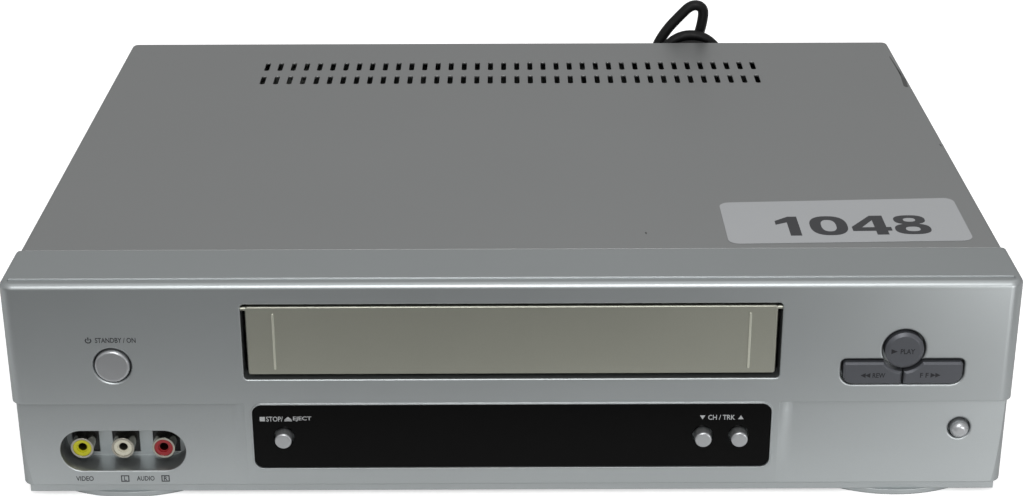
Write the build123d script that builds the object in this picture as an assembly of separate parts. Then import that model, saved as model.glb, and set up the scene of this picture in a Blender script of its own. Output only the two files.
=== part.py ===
from build123d import *

import os
from math import atan2, cos, degrees, hypot, pi, radians, sin, tan

# Front-loading video cassette recorder.  Millimetres.  While it is modelled, X runs to the
# right, Y runs back from the front face and Z runs up from the table.  Each finished node is
# then moved along Y, so that the origin is under the middle of the case.

# ---------------------------------------------------------------- case
CASE_W = 360.0             # bezel, side to side
CASE_H = 86.0              # table to the top of the cover
BODY_D = 272.6             # bezel face to the back edge of the cover
FACE_Z0 = 5.7              # lower edge of the front face
CREASE_Z = 39.0            # crease between the upper band and the lower fascia
BEZEL_D = 30.0             # how far the bezel wraps back to the cover
BEZEL_WALL = 2.6
BEZEL_CORNER_R = 5.0       # upright front corners, in plan
BEZEL_EDGE_R = 2.0         # rounded top edges
SIDE_STEP = 1.2            # the lower half is narrower by this on each side
FASCIA_DEPTH = 2.0         # depth of the lower fascia just below the crease
SURROUND_HALF = 96.1       # half width of the flush block round the window
COVE_W = 5.1               # width of the coved side of that block
TOP_GROOVE_Y = 3.6         # shallow groove along the top of the bezel
TOP_GROOVE_W = 2.1
TOP_GROOVE_D = 0.5
LIP_H = 3.4                # plinth lip below the face
LIP_SETBACK = 1.5
LIP_T = 3.0
LIP_GROOVE = 0.5           # dark groove between the face and the lip
SHEET_T = 0.8              # cover steel
COVER_SETBACK = 1.4        # cover side behind the bezel side
COVER_Z0 = 4.6
COVER_BEND_R = 2.0
COVER_REAR_LIP = 8.0
VENT_COLUMNS = 38
VENT_PITCH = 6.0
VENT_W = 2.3
VENT_LEN = 11.0
VENT_FRONT_Y = 218.8       # middle of the front row
VENT_ROW_PITCH = 18.7
FIT = 0.2                  # seat clearance between neighbouring pieces
RUN = 0.06                 # radial clearance of a running fit

# ---------------------------------------------------------------- cassette door and window
DOOR_W = 191.0             # opening
DOOR_H = 29.6
DOOR_Z = CASE_H - 22.6        # middle of the opening
DOOR_R = 1.5
DOOR_GAP_X = 1.6           # gap beside the flap
DOOR_GAP_TOP = 1.3
DOOR_GAP_BOTTOM = 1.6
DOOR_T = 1.8
DOOR_SETBACK = 0.8
DOOR_RIB_X = 84.2
DOOR_RIB_W = 0.8
DOOR_RIB_H = 21.8
RIM_D = 7.0                # depth of the rim behind the opening
RIM_T = 2.2
HINGE_R = 0.8
HINGE_DROP = 0.9           # flap top edge above the hinge line
WINDOW_W = 186.8
WINDOW_H = 26.0
WINDOW_Z = 25.5
WINDOW_R = 3.5
WINDOW_T = 2.0
WINDOW_SETBACK = 0.4
WINDOW_LIP_W = 0.5
WINDOW_LIP_PROUD = 0.35
SCREEN_X0 = 27.4 - WINDOW_W / 2   # opening behind the window for the display
SCREEN_X1 = WINDOW_W / 2 - 37.4
SCREEN_H = 21.0
LEDGE_T = 2.4              # wall that carries the window

# ---------------------------------------------------------------- buttons
TRAVEL = 0.8
STEM_R = 2.0
GUIDE_Y0 = 4.8             # front and back of every stem guide
GUIDE_Y1 = 9.4
CAP_BACK = 3.4             # back of every cap at rest
CLIP_T = 0.8               # clip ring behind the guide
CLIP_OVER = 0.8
BOARD_Y = 14.4             # front face of the switch boards
BOARD_T = 1.6
SWITCH_SIZE = 6.0
PLUNGER_R = 1.7
CUP_WALL = 1.4
SMALL_R = 3.05             # stop/eject and channel caps
SMALL_HOLE_R = 3.8
SMALL_PROUD = 3.0
SMALL_EDGE_R = 0.8
SMALL_Z = 25.0
STOP_X = 11.0 - WINDOW_W / 2
CHANNEL_X = WINDOW_W / 2 - 17.9
CHANNEL_PITCH = 13.0
STANDBY_X = 38.0 - CASE_W / 2
STANDBY_Z = 54.3
STANDBY_R = 6.25
STANDBY_HOLE_R = 6.65
STANDBY_PROUD = 0.9
STANDBY_EDGE_R = 1.1
RECORD_X = CASE_W / 2 - 18.3
RECORD_Z = 27.4
RECORD_R = 3.35
RECORD_HOLE_R = 3.95
RECORD_PROUD = 1.5
RECORD_EDGE_R = 2.4        # rounded almost to a dome
PLAY_X = CASE_W / 2 - 40.8
PLAY_Z = 59.9
PLAY_R = 6.9
PLAY_HOLE_R = 7.65
KEYS_W = 43.9              # outline of the two winding keys together
KEYS_H = 10.0
KEYS_Z = 50.9
KEYS_LOWER_R = 4.5
KEYS_UPPER_R = 1.8
KEY_GAP = 0.7
KEY_PROUD = 1.4
KEY_BEVEL = 1.3
KEY_BEVEL_D = 0.7
STANDBY_RIM_R = 1.1        # rounded rims of the openings in the bezel
KEYS_RIM_R = 0.8
RECORD_RIM_R = 0.8
DOOR_RIM_R = 0.5
POCKET_RIM_R = 0.4

# ---------------------------------------------------------------- phono sockets
POCKET_W = 45.5
POCKET_H = 15.9
POCKET_X = 38.85 - CASE_W / 2
POCKET_Z = 19.25
POCKET_D = 12.0
POCKET_WALL = 1.6
JACK_PITCH = 14.85
JACK_X = 38.0 - CASE_W / 2
JACK_Z = 18.2
JACK_Y = 5.0               # front rim
JACK_R = 4.15
JACK_SHELL_T = 0.75
JACK_PIN_R = 1.6           # hole for the plug's centre pin
JACK_PIN_DEPTH = 9.0
JACK_BODY_W = 9.4
JACK_BODY_D = 9.0
REAR_JACK_X = 44.0
REAR_JACK_Z = 24.0

# ---------------------------------------------------------------- floor, feet and back
FLOOR_Z = 3.0
FLOOR_T = 2.2
FRAME_WALL_H = 24.0
FOOT_W = 43.5
FOOT_X = CASE_W / 2 - 39.0
FOOT_FRONT_R = 47.0
FOOT_DEPTH = 30.0
FOOT_SETBACK = 0.3
REAR_FOOT_R = 9.0
REAR_FOOT_X = CASE_W / 2 - 30.0
REAR_FOOT_Y = 246.0
PANEL_T = 1.0
SCREW_HEAD_R = 3.0
SCREW_HEAD_H = 1.3
SCREW_R = 1.45
SCREW_LEN = 6.5
SIDE_SCREW_Z = 15.0
SIDE_SCREW_Y = (58.0, 236.0)
REAR_SCREW_X = CASE_W / 3
REAR_SCREW_Z = CASE_H - 4.5

# ---------------------------------------------------------------- electronics
MAIN_BOARD_Z = 9.0
POST_R = 4.0
TUNER_W = 54.0
TUNER_D = 30.0
TUNER_H = 50.0
TUNER_X = 58.0 - CASE_W / 2
AERIAL_PROUD = 9.0         # the aerial sockets are the rearmost points of the case
AERIAL_R = 4.75
MULTI_W = 50.0             # multi-pin audio and video socket
MULTI_H = 17.0
MULTI_D = 22.0
MULTI_X = -22.0            # between the two sockets
MULTI_PITCH = 56.0
MULTI_Z = 24.0
MULTI_SLOT_W = 46.0
MULTI_SLOT_H = 11.5
MULTI_SLOT_D = 11.0
POWER_X0 = CASE_W / 2 - 62.0
POWER_X1 = CASE_W / 2 - 8.0

# ---------------------------------------------------------------- tape deck
DECK_Z = 20.4              # top of the deck plate
DECK_T = 1.4
DECK_MARGIN = 15.2         # deck plate outside the housing
DECK_Y0 = 44.0
DECK_Y1 = 224.0
REEL_PITCH = 92.0
REEL_Y = 96.0
REEL_R = 22.0
REEL_RIM_T = 4.0
SPINDLE_R = 5.0
SPINDLE_TOP = 39.0
DRUM_X = 8.0
DRUM_Y = 190.0
DRUM_R = 31.0
DRUM_TILT = 6.0
DRUM_BASE_Z = 24.0
DRUM_LOWER_H = 13.0
DRUM_UPPER_H = 13.7
DRUM_SHAFT_R = 3.0
AIR_GAP = 0.3              # between faces that move past each other
CAPSTAN_BEARING_H = 2.8
CAPSTAN_Y = 152.0
CAPSTAN_R = 1.5
CAPSTAN_TOP = 47.0
FLYWHEEL_R = 20.0
FLYWHEEL_Z = 11.4
CLUTCH_Y = 73.0
CLUTCH_PULLEY_R = 12.0
CLUTCH_WHEEL_R = 6.0
PULLEY_H = 6.0
FLANGE_OVER = 1.0
BELT_T = 1.0
BELT_H = 2.4
IDLER_ARM = 23.0
IDLER_SWING = 17.0
PINCH_PIVOT_OUT = 22.0     # beside the capstan
PINCH_PIVOT_Y = 160.0
PINCH_R = 6.0
PINCH_SWING = 26.0
PINCH_H = 19.0
ARM_LIFT = 3.2             # lever above the deck
ROLLER_LIFT = 3.0          # roller above the lever
GUIDE_START_Y = 138.0
GUIDE_START_OUT = 30.0     # either side of the drum
GUIDE_END_OUT = 44.0
GUIDE_END_Y = 188.0
GUIDE_POST_R = 3.0
GUIDE_FOOT_T = 1.0         # disc under the deck, clear of the flywheel

# ---------------------------------------------------------------- cassette housing
CASSETTE_W = 187.0
CAPSTAN_X = CASSETTE_W / 2 - 27.5
PINCH_PIVOT_X = CAPSTAN_X + PINCH_PIVOT_OUT
CASSETTE_H = 25.0
CASSETTE_Z = CASE_H - 37.0    # underside of a cassette in the slot
HOLDER_Y0 = 30.0
HOLDER_LEN = 60.0
HOLDER_T = 0.9
HOLDER_SIDE_GAP = 0.7
STOP_TAB_X0 = 24.0         # tabs behind the cassette, between drum and capstan
STOP_TAB_X1 = 56.0
STOP_TAB_H = 9.0
LEDGE_W = 10.0
SLIDE_TRAVEL = 62.0
DROP = CASE_H - 66.0
SLIDE_T = 2.0
SLIDE_Y0 = 29.0
SLIDE_LEN = 72.0
SLIDE_Z0 = CASSETTE_Z + 7.0 - DROP
PIN_R = 1.5
FRONT_PIN_Y = 42.0
FRONT_PIN_Z = CASSETTE_Z + 9.0
REAR_PIN_Y = 78.0
REAR_PIN_Z = CASSETTE_Z + 17.0
MODULE = 0.8
PINION_TEETH = 10
DRIVE_TEETH = 14
MOTOR_TEETH = 10
GEAR_GAP = 1.4             # drive gears outside the bracket
GEAR_W = 3.0
SHAFT_Y = 97.0
SHAFT_Z = CASE_H - 7.8
SHAFT_R = 1.5
BRACKET_T = 1.2
BRACKET_Y0 = 28.0
BRACKET_Y1 = 166.0
BRIDGE_Z = CASE_H - 5.8
EAR_SETOUT = 6.2           # motor ear outside the bracket
MOTOR_R = 10.0
MOTOR_LEN = 20.0

# ---------------------------------------------------------------- mains cord
CORD_D = 5.0
CORD_X = CASE_W / 2 - 59.0    # exit in the back panel
CORD_Z = 24.0
GLAND_LEN = 28.0
GLAND_R0 = 5.2
GLAND_R1 = 3.6
HANK_W = 40.0              # folded cord, outside width of its turns
HANK_WAIST = 31.0          # drawn in by the tie
HANK_T = 16.0              # three layers of turns
HANK_H = 89.6
HANK_X = 86.5
HANK_END = 1.3             # height over half width of the upper folds
HANK_LOOP_T = 5.6          # the tall fold is in the rear layer
HANK_LOOP_H = 101.6
TIE_T = 1.2
TIE_W = 5.0
TIE_Z = 44.0
PLUG_W = 35.0
PLUG_T = 13.7
PLUG_LEN = 34.0
PLUG_PIN_R = 2.0
PLUG_PIN_LEN = 19.0
PLUG_PIN_PITCH = 18.6
PLUG_SLEEVE_LEN = 20.0

# ---------------------------------------------------------------- worked out from the above
HALF_W = CASE_W / 2
LOWER_HALF = HALF_W - SIDE_STEP
COVER_HALF = HALF_W - COVER_SETBACK
INNER_HALF = HALF_W - SIDE_STEP - BEZEL_WALL + 0.1
WINDOW_BACK = WINDOW_SETBACK + WINDOW_T
LOWER_WALL_Y = WINDOW_BACK + LEDGE_T
DOOR_TOP = DOOR_Z + DOOR_H / 2 - DOOR_GAP_TOP
DOOR_BOTTOM = DOOR_Z - DOOR_H / 2 + DOOR_GAP_BOTTOM
HINGE_Z = DOOR_TOP - HINGE_DROP
HINGE_Y = DOOR_SETBACK + DOOR_T / 2
FLAP_HALF = DOOR_W / 2 - DOOR_GAP_X
KEYS_HALF = KEYS_W / 2
CLIP_Y1 = GUIDE_Y1 + FIT + CLIP_T
PLUNGER_Y = CLIP_Y1 + TRAVEL + FIT
FRAME_HALF = COVER_HALF - SHEET_T - FIT
FLOOR_TOP = FLOOR_Z + FLOOR_T
PANEL_Y1 = BODY_D - SHEET_T - FIT
PANEL_Y0 = PANEL_Y1 - PANEL_T
MAIN_BOARD_TOP = MAIN_BOARD_Z + BOARD_T
DECK_BOTTOM = DECK_Z - DECK_T
REEL_X = REEL_PITCH / 2
IDLER_WHEEL_R = IDLER_ARM - CLUTCH_WHEEL_R - 0.1
REEL_Z0 = DECK_Z + 1.2
CASSETTE_TOP = CASSETTE_Z + CASSETTE_H
HOLDER_IN = CASSETTE_W / 2 + HOLDER_SIDE_GAP
HOLDER_OUT = HOLDER_IN + HOLDER_T
SLIDE_IN = HOLDER_OUT + AIR_GAP
SLIDE_OUT = SLIDE_IN + SLIDE_T
BRACKET_IN = SLIDE_OUT + FIT
BRACKET_OUT = BRACKET_IN + BRACKET_T
EAR_X = BRACKET_OUT + EAR_SETOUT
DECK_HALF = BRACKET_OUT + DECK_MARGIN
PINION_R = MODULE * PINION_TEETH / 2
DRIVE_R = MODULE * DRIVE_TEETH / 2
MOTOR_PINION_R = MODULE * MOTOR_TEETH / 2
RACK_PITCH_Z = SHAFT_Z - PINION_R
TOOTH_PITCH = pi * MODULE
ADDENDUM = 0.8 * MODULE
DEDENDUM = 1.1 * MODULE
MOTOR_Z = SHAFT_Z - DRIVE_R - MOTOR_PINION_R
CORD_R = CORD_D / 2
HANK_Y0 = BODY_D + FIT + TIE_T
HANK_Y1 = HANK_Y0 + HANK_T
GLAND_TIP_Y = PANEL_Y1 + GLAND_LEN
MIDDLE_Y = (BODY_D + AERIAL_PROUD - SMALL_PROUD) / 2


# ================================================================ plain shapes
def block(x0, x1, y0, y1, z0, z1):
    """Box between two corners."""
    centre = Pos((x0 + x1) / 2, (y0 + y1) / 2, (z0 + z1) / 2)
    return centre * Box(abs(x1 - x0), abs(y1 - y0), abs(z1 - z0))


def rod_x(x0, x1, y, z, radius):
    return Pos((x0 + x1) / 2, y, z) * Rot(0, 90, 0) * Cylinder(radius, abs(x1 - x0))


def rod_y(x, y0, y1, z, radius):
    return Pos(x, (y0 + y1) / 2, z) * Rot(90, 0, 0) * Cylinder(radius, abs(y1 - y0))


def rod_z(x, y, z0, z1, radius):
    return Pos(x, y, (z0 + z1) / 2) * Cylinder(radius, abs(z1 - z0))


def from_front(outline, y0, y1):
    """Solid of an outline drawn as seen from the front (X across, Z up)."""
    plane = Plane(origin=(0, y0, 0), x_dir=(1, 0, 0), z_dir=(0, -1, 0))
    return extrude(plane * outline, amount=y1 - y0, dir=(0, 1, 0))


def from_above(outline, z0, z1):
    """Solid of an outline drawn in plan (X across, Y back)."""
    return extrude(Plane.XY.offset(z0) * outline, amount=z1 - z0, dir=(0, 0, 1))


def from_side(outline, x0, x1):
    """Solid of an outline drawn from the side (Y across, Z up)."""
    plane = Plane(origin=(x0, 0, 0), x_dir=(0, 1, 0), z_dir=(1, 0, 0))
    return extrude(plane * outline, amount=x1 - x0, dir=(1, 0, 0))


def both_sides(shape):
    """The shape and its mirror image in the middle plane."""
    return shape + mirror(shape, about=Plane.YZ)


def plan_with_corners(half, depth, radius):
    """Plan outline with rounded front corners."""
    outline = Pos(0, depth / 2) * Rectangle(2 * half, depth)
    return fillet(outline.vertices().group_by(Axis.Y)[0], radius)


# ================================================================ bezel
def fascia_space(z, depth):
    """Section of the space in front of the right half of the lower fascia."""
    cove_end = SURROUND_HALF + COVE_W
    outside = HALF_W + 1
    inner = (SURROUND_HALF, 0)
    outer = (cove_end, depth)
    cove = TangentArc(outer, inner, tangent=(-1, 0))
    sides = Polyline(inner, (SURROUND_HALF, -1), (outside, -1), (outside, depth), outer)
    return Plane.XY.offset(z) * make_face(cove + sides)


def keys_outline(inset):
    """Outline round the two winding keys, inset all round."""
    width = KEYS_W - 2 * inset
    height = KEYS_H - 2 * inset
    outline = Pos(PLAY_X, KEYS_Z) * Rectangle(width, height)
    rows = outline.vertices().group_by(Axis.Y)
    outline = fillet(rows[0], KEYS_LOWER_R - inset)
    return fillet(outline.vertices().group_by(Axis.Y)[-1], KEYS_UPPER_R - inset)


def small_buttons():
    """Names and places of the round buttons in the window."""
    return {
        "stop_button": STOP_X,
        "channel_down_button": CHANNEL_X - CHANNEL_PITCH / 2,
        "channel_up_button": CHANNEL_X + CHANNEL_PITCH / 2,
    }


def key_stem_x(side):
    """Stem of a winding key, half way along it."""
    return PLAY_X + side * (KEYS_HALF / 2 + 1)


def round_ports():
    """Middle and hole radius of each round button port."""
    ports = [(x, SMALL_Z, SMALL_HOLE_R) for x in small_buttons().values()]
    ports.append((STANDBY_X, STANDBY_Z, STANDBY_HOLE_R))
    ports.append((RECORD_X, RECORD_Z, RECORD_HOLE_R))
    return ports


def jack_places():
    return [JACK_X + step * JACK_PITCH for step in (-1, 0, 1)]


def bezel_shell():
    """Outer form of the bezel, hollow and open at the back and below."""
    upper = from_above(plan_with_corners(HALF_W, BEZEL_D, BEZEL_CORNER_R), CREASE_Z, CASE_H)
    top_edges = upper.edges().group_by(Axis.Z)[-1]
    upper = fillet(top_edges.filter_by_position(Axis.Y, -1, BEZEL_D - 0.1), BEZEL_EDGE_R)
    lower = from_above(plan_with_corners(LOWER_HALF, BEZEL_D, BEZEL_CORNER_R), FACE_Z0, CREASE_Z)
    space = loft([fascia_space(FACE_Z0, 0.05), fascia_space(CREASE_Z, FASCIA_DEPTH)], ruled=True)
    lower -= both_sides(space)
    groove_half = HALF_W - BEZEL_EDGE_R - 1
    groove_y1 = TOP_GROOVE_Y + TOP_GROOVE_W
    upper -= block(-groove_half, groove_half, TOP_GROOVE_Y, groove_y1, CASE_H - TOP_GROOVE_D, CASE_H + 1)
    hollow = block(-INNER_HALF, INNER_HALF, BEZEL_WALL, BEZEL_D + 1, CREASE_Z, CASE_H - BEZEL_WALL)
    hollow += block(-INNER_HALF, INNER_HALF, LOWER_WALL_Y, BEZEL_D + 1, 0, CREASE_Z + BEZEL_WALL)
    hollow -= block(-HALF_W, HALF_W, 0, LOWER_WALL_Y, CREASE_Z, CREASE_Z + BEZEL_WALL)
    lip_top = FACE_Z0 - LIP_GROOVE
    lip = block(-INNER_HALF, INNER_HALF, LIP_SETBACK, LIP_SETBACK + LIP_T, FACE_Z0 - LIP_H, lip_top)
    lip += block(-INNER_HALF, INNER_HALF, LIP_SETBACK + 1.1, LIP_SETBACK + LIP_T, lip_top, FACE_Z0)
    return upper + lower - hollow + lip


def rounded_openings():
    """Middle, half sizes and rim radius of each opening with a rounded rim."""
    keys_low = KEYS_Z - KEYS_H / 2
    keys_high = PLAY_Z + PLAY_HOLE_R
    return [
        ((0, DOOR_Z), DOOR_W / 2, DOOR_H / 2, DOOR_RIM_R),
        ((STANDBY_X, STANDBY_Z), STANDBY_HOLE_R, STANDBY_HOLE_R, STANDBY_RIM_R),
        ((RECORD_X, RECORD_Z), RECORD_HOLE_R, RECORD_HOLE_R, RECORD_RIM_R),
        ((PLAY_X, (keys_low + keys_high) / 2), KEYS_HALF, (keys_high - keys_low) / 2, KEYS_RIM_R),
        ((POCKET_X, POCKET_Z), POCKET_W / 2, POCKET_H / 2, POCKET_RIM_R),
    ]


def opening_edges(shell, place, half_w, half_h):
    """Edges of an opening in the outer face: level above the crease, leaning back below it."""
    x, z = place
    deepest = FASCIA_DEPTH if z < CREASE_Z else 0
    edges = shell.edges().filter_by_position(Axis.Y, -0.1, deepest + 0.05)
    edges = edges.filter_by_position(Axis.X, x - half_w - 0.1, x + half_w + 0.1)
    return edges.filter_by_position(Axis.Z, z - half_h - 0.1, z + half_h + 0.1)


def front_bezel():
    shell = bezel_shell()
    # Rim round the cassette opening.
    rim = Pos(0, DOOR_Z) * RectangleRounded(DOOR_W + 2 * RIM_T, DOOR_H + 2 * RIM_T, DOOR_R + RIM_T)
    shell += from_front(rim, 1.0, RIM_D)
    # Stem guides of the round buttons and of the key group.
    for x, z, hole_r in round_ports():
        shell += rod_y(x, FASCIA_DEPTH + 0.1, GUIDE_Y1, z, hole_r + CUP_WALL)
    key_opening = keys_outline(0) + Pos(PLAY_X, PLAY_Z) * Circle(PLAY_HOLE_R)
    shell += from_front(offset(key_opening, CUP_WALL), 1.0, GUIDE_Y1)
    # Cup of the phono sockets.
    cup = Pos(POCKET_X, POCKET_Z) * SlotOverall(POCKET_W + 2 * POCKET_WALL, POCKET_H + 2 * POCKET_WALL)
    shell += from_front(cup, FASCIA_DEPTH, POCKET_D + POCKET_WALL)
    # Posts that carry the switch boards.
    for x, z in board_posts():
        shell += rod_y(x, BEZEL_WALL - 0.5, BOARD_Y, z, 2.4)
    # Openings.
    shell -= from_front(Pos(0, DOOR_Z) * RectangleRounded(DOOR_W, DOOR_H, DOOR_R), -1, RIM_D + 1)
    for side in (-1, 1):
        edge = side * DOOR_W / 2
        shell -= rod_x(edge - side, edge + side * 1.7, HINGE_Y, HINGE_Z, HINGE_R + RUN)
    window = Pos(0, WINDOW_Z) * RectangleRounded(WINDOW_W, WINDOW_H, WINDOW_R)
    window_lip = offset(window, WINDOW_LIP_W) - window
    shell += from_front(window_lip, -WINDOW_LIP_PROUD, 1.0)
    shell -= from_front(window, -1, WINDOW_BACK)
    screen_mid = (SCREEN_X0 + SCREEN_X1) / 2
    screen = Pos(screen_mid, WINDOW_Z) * RectangleRounded(SCREEN_X1 - SCREEN_X0, SCREEN_H, 1.5)
    shell -= from_front(screen, 0, LOWER_WALL_Y + 1)
    for x, z, hole_r in round_ports():
        shell -= rod_y(x, -1, GUIDE_Y0, z, hole_r)
        shell -= rod_y(x, 0, GUIDE_Y1 + 1, z, STEM_R + RUN)
    shell -= from_front(key_opening, -1, GUIDE_Y0)
    for x, z in ((PLAY_X, PLAY_Z), (key_stem_x(-1), KEYS_Z), (key_stem_x(1), KEYS_Z)):
        shell -= rod_y(x, 0, GUIDE_Y1 + 1, z, STEM_R + RUN)
    pocket = Pos(POCKET_X, POCKET_Z) * SlotOverall(POCKET_W, POCKET_H)
    shell -= from_front(pocket, -1, POCKET_D)
    for x in jack_places():
        half = JACK_BODY_W / 2 + FIT
        top = POCKET_Z + POCKET_H / 2 - 0.6
        shell -= block(x - half, x + half, POCKET_D - 1, POCKET_D + POCKET_WALL + 1, JACK_Z - 5.4, top)
    for place, half_w, half_h, rim_r in rounded_openings():
        shell = fillet(opening_edges(shell, place, half_w, half_h), rim_r)
    return shell


def cassette_door():
    """Flap hinged at its top edge, with two upright ribs and a pin at each end."""
    height = DOOR_TOP - DOOR_BOTTOM
    face = Pos(0, (DOOR_TOP + DOOR_BOTTOM) / 2) * RectangleRounded(2 * FLAP_HALF, height, 1.0)
    flap = from_front(face, DOOR_SETBACK, DOOR_SETBACK + DOOR_T)
    front = flap.faces().sort_by(Axis.Y)[0]
    flap = chamfer(front.edges(), 0.35)
    rib_z = DOOR_Z - 0.1
    for x in (-DOOR_RIB_X, DOOR_RIB_X):
        rib = Pos(x, rib_z) * SlotOverall(DOOR_RIB_H, DOOR_RIB_W, rotation=90)
        flap += from_front(rib, DOOR_SETBACK - 0.35, DOOR_SETBACK + 0.2)
    for side in (-1, 1):
        end = side * (DOOR_W / 2 + 1.2)
        flap += rod_x(side * (FLAP_HALF - 1), end, HINGE_Y, HINGE_Z, HINGE_R)
    return flap


def door_spring():
    """Close-wound return spring lying along the left end of the hinge, with its two legs."""
    wire_r = 0.3
    coil_r = 1.5
    turns = 4
    x0 = -(DOOR_W / 2 + RIM_T + FIT + wire_r)
    y = BEZEL_WALL + coil_r + wire_r + FIT
    step = 1.9 * wire_r
    rings = Sketch() + [Pos(coil_r, turn * step) * Circle(wire_r) for turn in range(turns)]
    coil = revolve(Plane.XZ * rings, axis=Axis.Z)
    coil = Pos(x0, y, HINGE_Z) * Rot(0, -90, 0) * coil
    coil += rod_z(x0, y - coil_r + 0.1, HINGE_Z - 6, HINGE_Z + 0.2, wire_r)
    return coil + rod_z(x0 - (turns - 1) * step, y + coil_r - 0.1, HINGE_Z - 6, HINGE_Z + 0.2, wire_r)


def display_window():
    """Smoked strip with holes for three buttons."""
    outline = Pos(0, WINDOW_Z) * RectangleRounded(WINDOW_W - 2 * 0.1, WINDOW_H - 2 * 0.1, WINDOW_R - 0.1)
    for x in small_buttons().values():
        outline -= Pos(x, SMALL_Z) * Circle(SMALL_HOLE_R)
    return from_front(outline, WINDOW_SETBACK, WINDOW_BACK)


# ================================================================ buttons
def stem(x, z, cap_back=CAP_BACK):
    """Guided stem of a button, with the clip that keeps it in."""
    shaft = rod_y(x, cap_back - 0.5, CLIP_Y1, z, STEM_R)
    return shaft + rod_y(x, GUIDE_Y1 + FIT, CLIP_Y1, z, STEM_R + CLIP_OVER)


def round_button(x, z, radius, proud, edge_r):
    """Round cap with a rounded front edge on a guided stem."""
    cap = rod_y(x, -proud, CAP_BACK, z, radius)
    rim = cap.edges().filter_by(GeomType.CIRCLE).sort_by(Axis.Y)[0]
    return fillet(rim, edge_r) + stem(x, z)


def play_button():
    cap = rod_y(PLAY_X, -KEY_PROUD, CAP_BACK, PLAY_Z, PLAY_R)
    rim = cap.edges().filter_by(GeomType.CIRCLE).sort_by(Axis.Y)[0]
    return chamfer(rim, KEY_BEVEL_D, KEY_BEVEL) + stem(PLAY_X, PLAY_Z)


def winding_key(side):
    """Left (-1) or right (+1) key below the play button, hollowed to clear it."""
    half = Pos(PLAY_X + side * (KEYS_HALF / 2 + KEY_GAP / 2), KEYS_Z) * Rectangle(KEYS_HALF, KEYS_H)
    outline = keys_outline(KEY_GAP) & half
    outline -= Pos(PLAY_X, PLAY_Z) * Circle(PLAY_HOLE_R + KEY_GAP)
    cap = from_front(outline, -KEY_PROUD, CAP_BACK)
    front = cap.faces().sort_by(Axis.Y)[0]
    cap = chamfer(front.edges(), KEY_BEVEL_D)
    return cap + stem(key_stem_x(side), KEYS_Z)


def button_places():
    places = [(x, SMALL_Z) for x in small_buttons().values()]
    places += [(STANDBY_X, STANDBY_Z), (RECORD_X, RECORD_Z), (PLAY_X, PLAY_Z)]
    return places + [(key_stem_x(-1), KEYS_Z), (key_stem_x(1), KEYS_Z)]


def key_switches():
    """Push switches on the boards, one behind each button."""
    half = SWITCH_SIZE / 2
    body_y = PLUNGER_Y + 0.9
    switches = []
    for x, z in button_places():
        switch = block(x - half, x + half, body_y, BOARD_Y, z - half, z + half)
        switches.append(switch + rod_y(x, PLUNGER_Y, body_y + 0.1, z, PLUNGER_R))
    return Compound(children=switches)


# ================================================================ boards behind the front
def centre_board_box():
    return (-99.0, 99.0, 8.4, 43.0)


def left_board_box():
    return (STANDBY_X - 16, STANDBY_X + 16, STANDBY_Z - 9, STANDBY_Z + 16)


def right_board_box():
    return (PLAY_X - 26, RECORD_X + 10, RECORD_Z - 8, PLAY_Z + 12)


def board_posts():
    """Two posts near opposite corners of each board."""
    posts = []
    for x0, x1, z0, z1 in (left_board_box(), right_board_box()):
        posts += [(x0 + 4, z1 - 4), (x1 - 4, z1 - 4)]
    x0, x1, z0, z1 = centre_board_box()
    return posts + [(x0 + 3, z0 + 3), (x1 - 3, z0 + 3)]


def front_boards():
    """Display board, the two key boards and the phono socket board."""
    boards = []
    for x0, x1, z0, z1 in (centre_board_box(), left_board_box(), right_board_box()):
        boards.append(block(x0, x1, BOARD_Y, BOARD_Y + BOARD_T, z0, z1))
    y0 = POCKET_D + POCKET_WALL + FIT + JACK_BODY_D
    x_half = JACK_PITCH + JACK_BODY_W
    boards.append(block(JACK_X - x_half, JACK_X + x_half, y0, y0 + BOARD_T, JACK_Z - 9, JACK_Z + 12))
    return Compound(children=boards)


def display_tube():
    """Flat glass fluorescent display on two foam strips."""
    x0 = SCREEN_X0 + 4
    x1 = SCREEN_X1 - 4
    half = SCREEN_H / 2 - 1.5
    tube = block(x0, x1, LOWER_WALL_Y + FIT, BOARD_Y - 2, WINDOW_Z - half, WINDOW_Z + half)
    tube = chamfer(tube.edges().filter_by(Axis.Y), 1.2)
    for x in (x0 + 10, x1 - 10):
        tube += block(x - 3, x + 3, BOARD_Y - 2, BOARD_Y, WINDOW_Z - half + 2, WINDOW_Z + half - 2)
    return tube


# ================================================================ phono sockets
def phono_shell(x, rim_y, z, back_y, out):
    """Plated barrel with a rolled rim.  out is -1 to the front and +1 to the back."""
    barrel = rod_y(x, rim_y, back_y, z, JACK_R)
    bore = rod_y(x, rim_y + out, back_y, z, JACK_R - JACK_SHELL_T)
    return barrel - bore


def phono_insulator(x, rim_y, z, back_y, out):
    """Coloured insulator with the hole for the centre pin."""
    face_y = rim_y - out * 0.4
    body = rod_y(x, face_y, back_y, z, JACK_R - JACK_SHELL_T - 0.02)
    step = rod_y(x, face_y + out, face_y - out * 0.6, z, JACK_PIN_R + 0.5)
    bore = rod_y(x, face_y + out, face_y - out * JACK_PIN_DEPTH, z, JACK_PIN_R)
    return body - bore - step


def front_jack_back():
    return POCKET_D + 0.4


def rear_jack_places():
    return [REAR_JACK_X, REAR_JACK_X + JACK_PITCH]


def rear_jack_rim():
    return PANEL_Y1 + 7.0


def jack_shells():
    shells = [phono_shell(x, JACK_Y, JACK_Z, front_jack_back(), -1) for x in jack_places()]
    for x in rear_jack_places():
        shells.append(phono_shell(x, rear_jack_rim(), REAR_JACK_Z, PANEL_Y0, 1))
    return Compound(children=shells)


def front_insulator(index):
    return phono_insulator(jack_places()[index], JACK_Y, JACK_Z, front_jack_back(), -1)


def rear_insulator(index):
    return phono_insulator(rear_jack_places()[index], rear_jack_rim(), REAR_JACK_Z, PANEL_Y0, 1)


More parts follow.
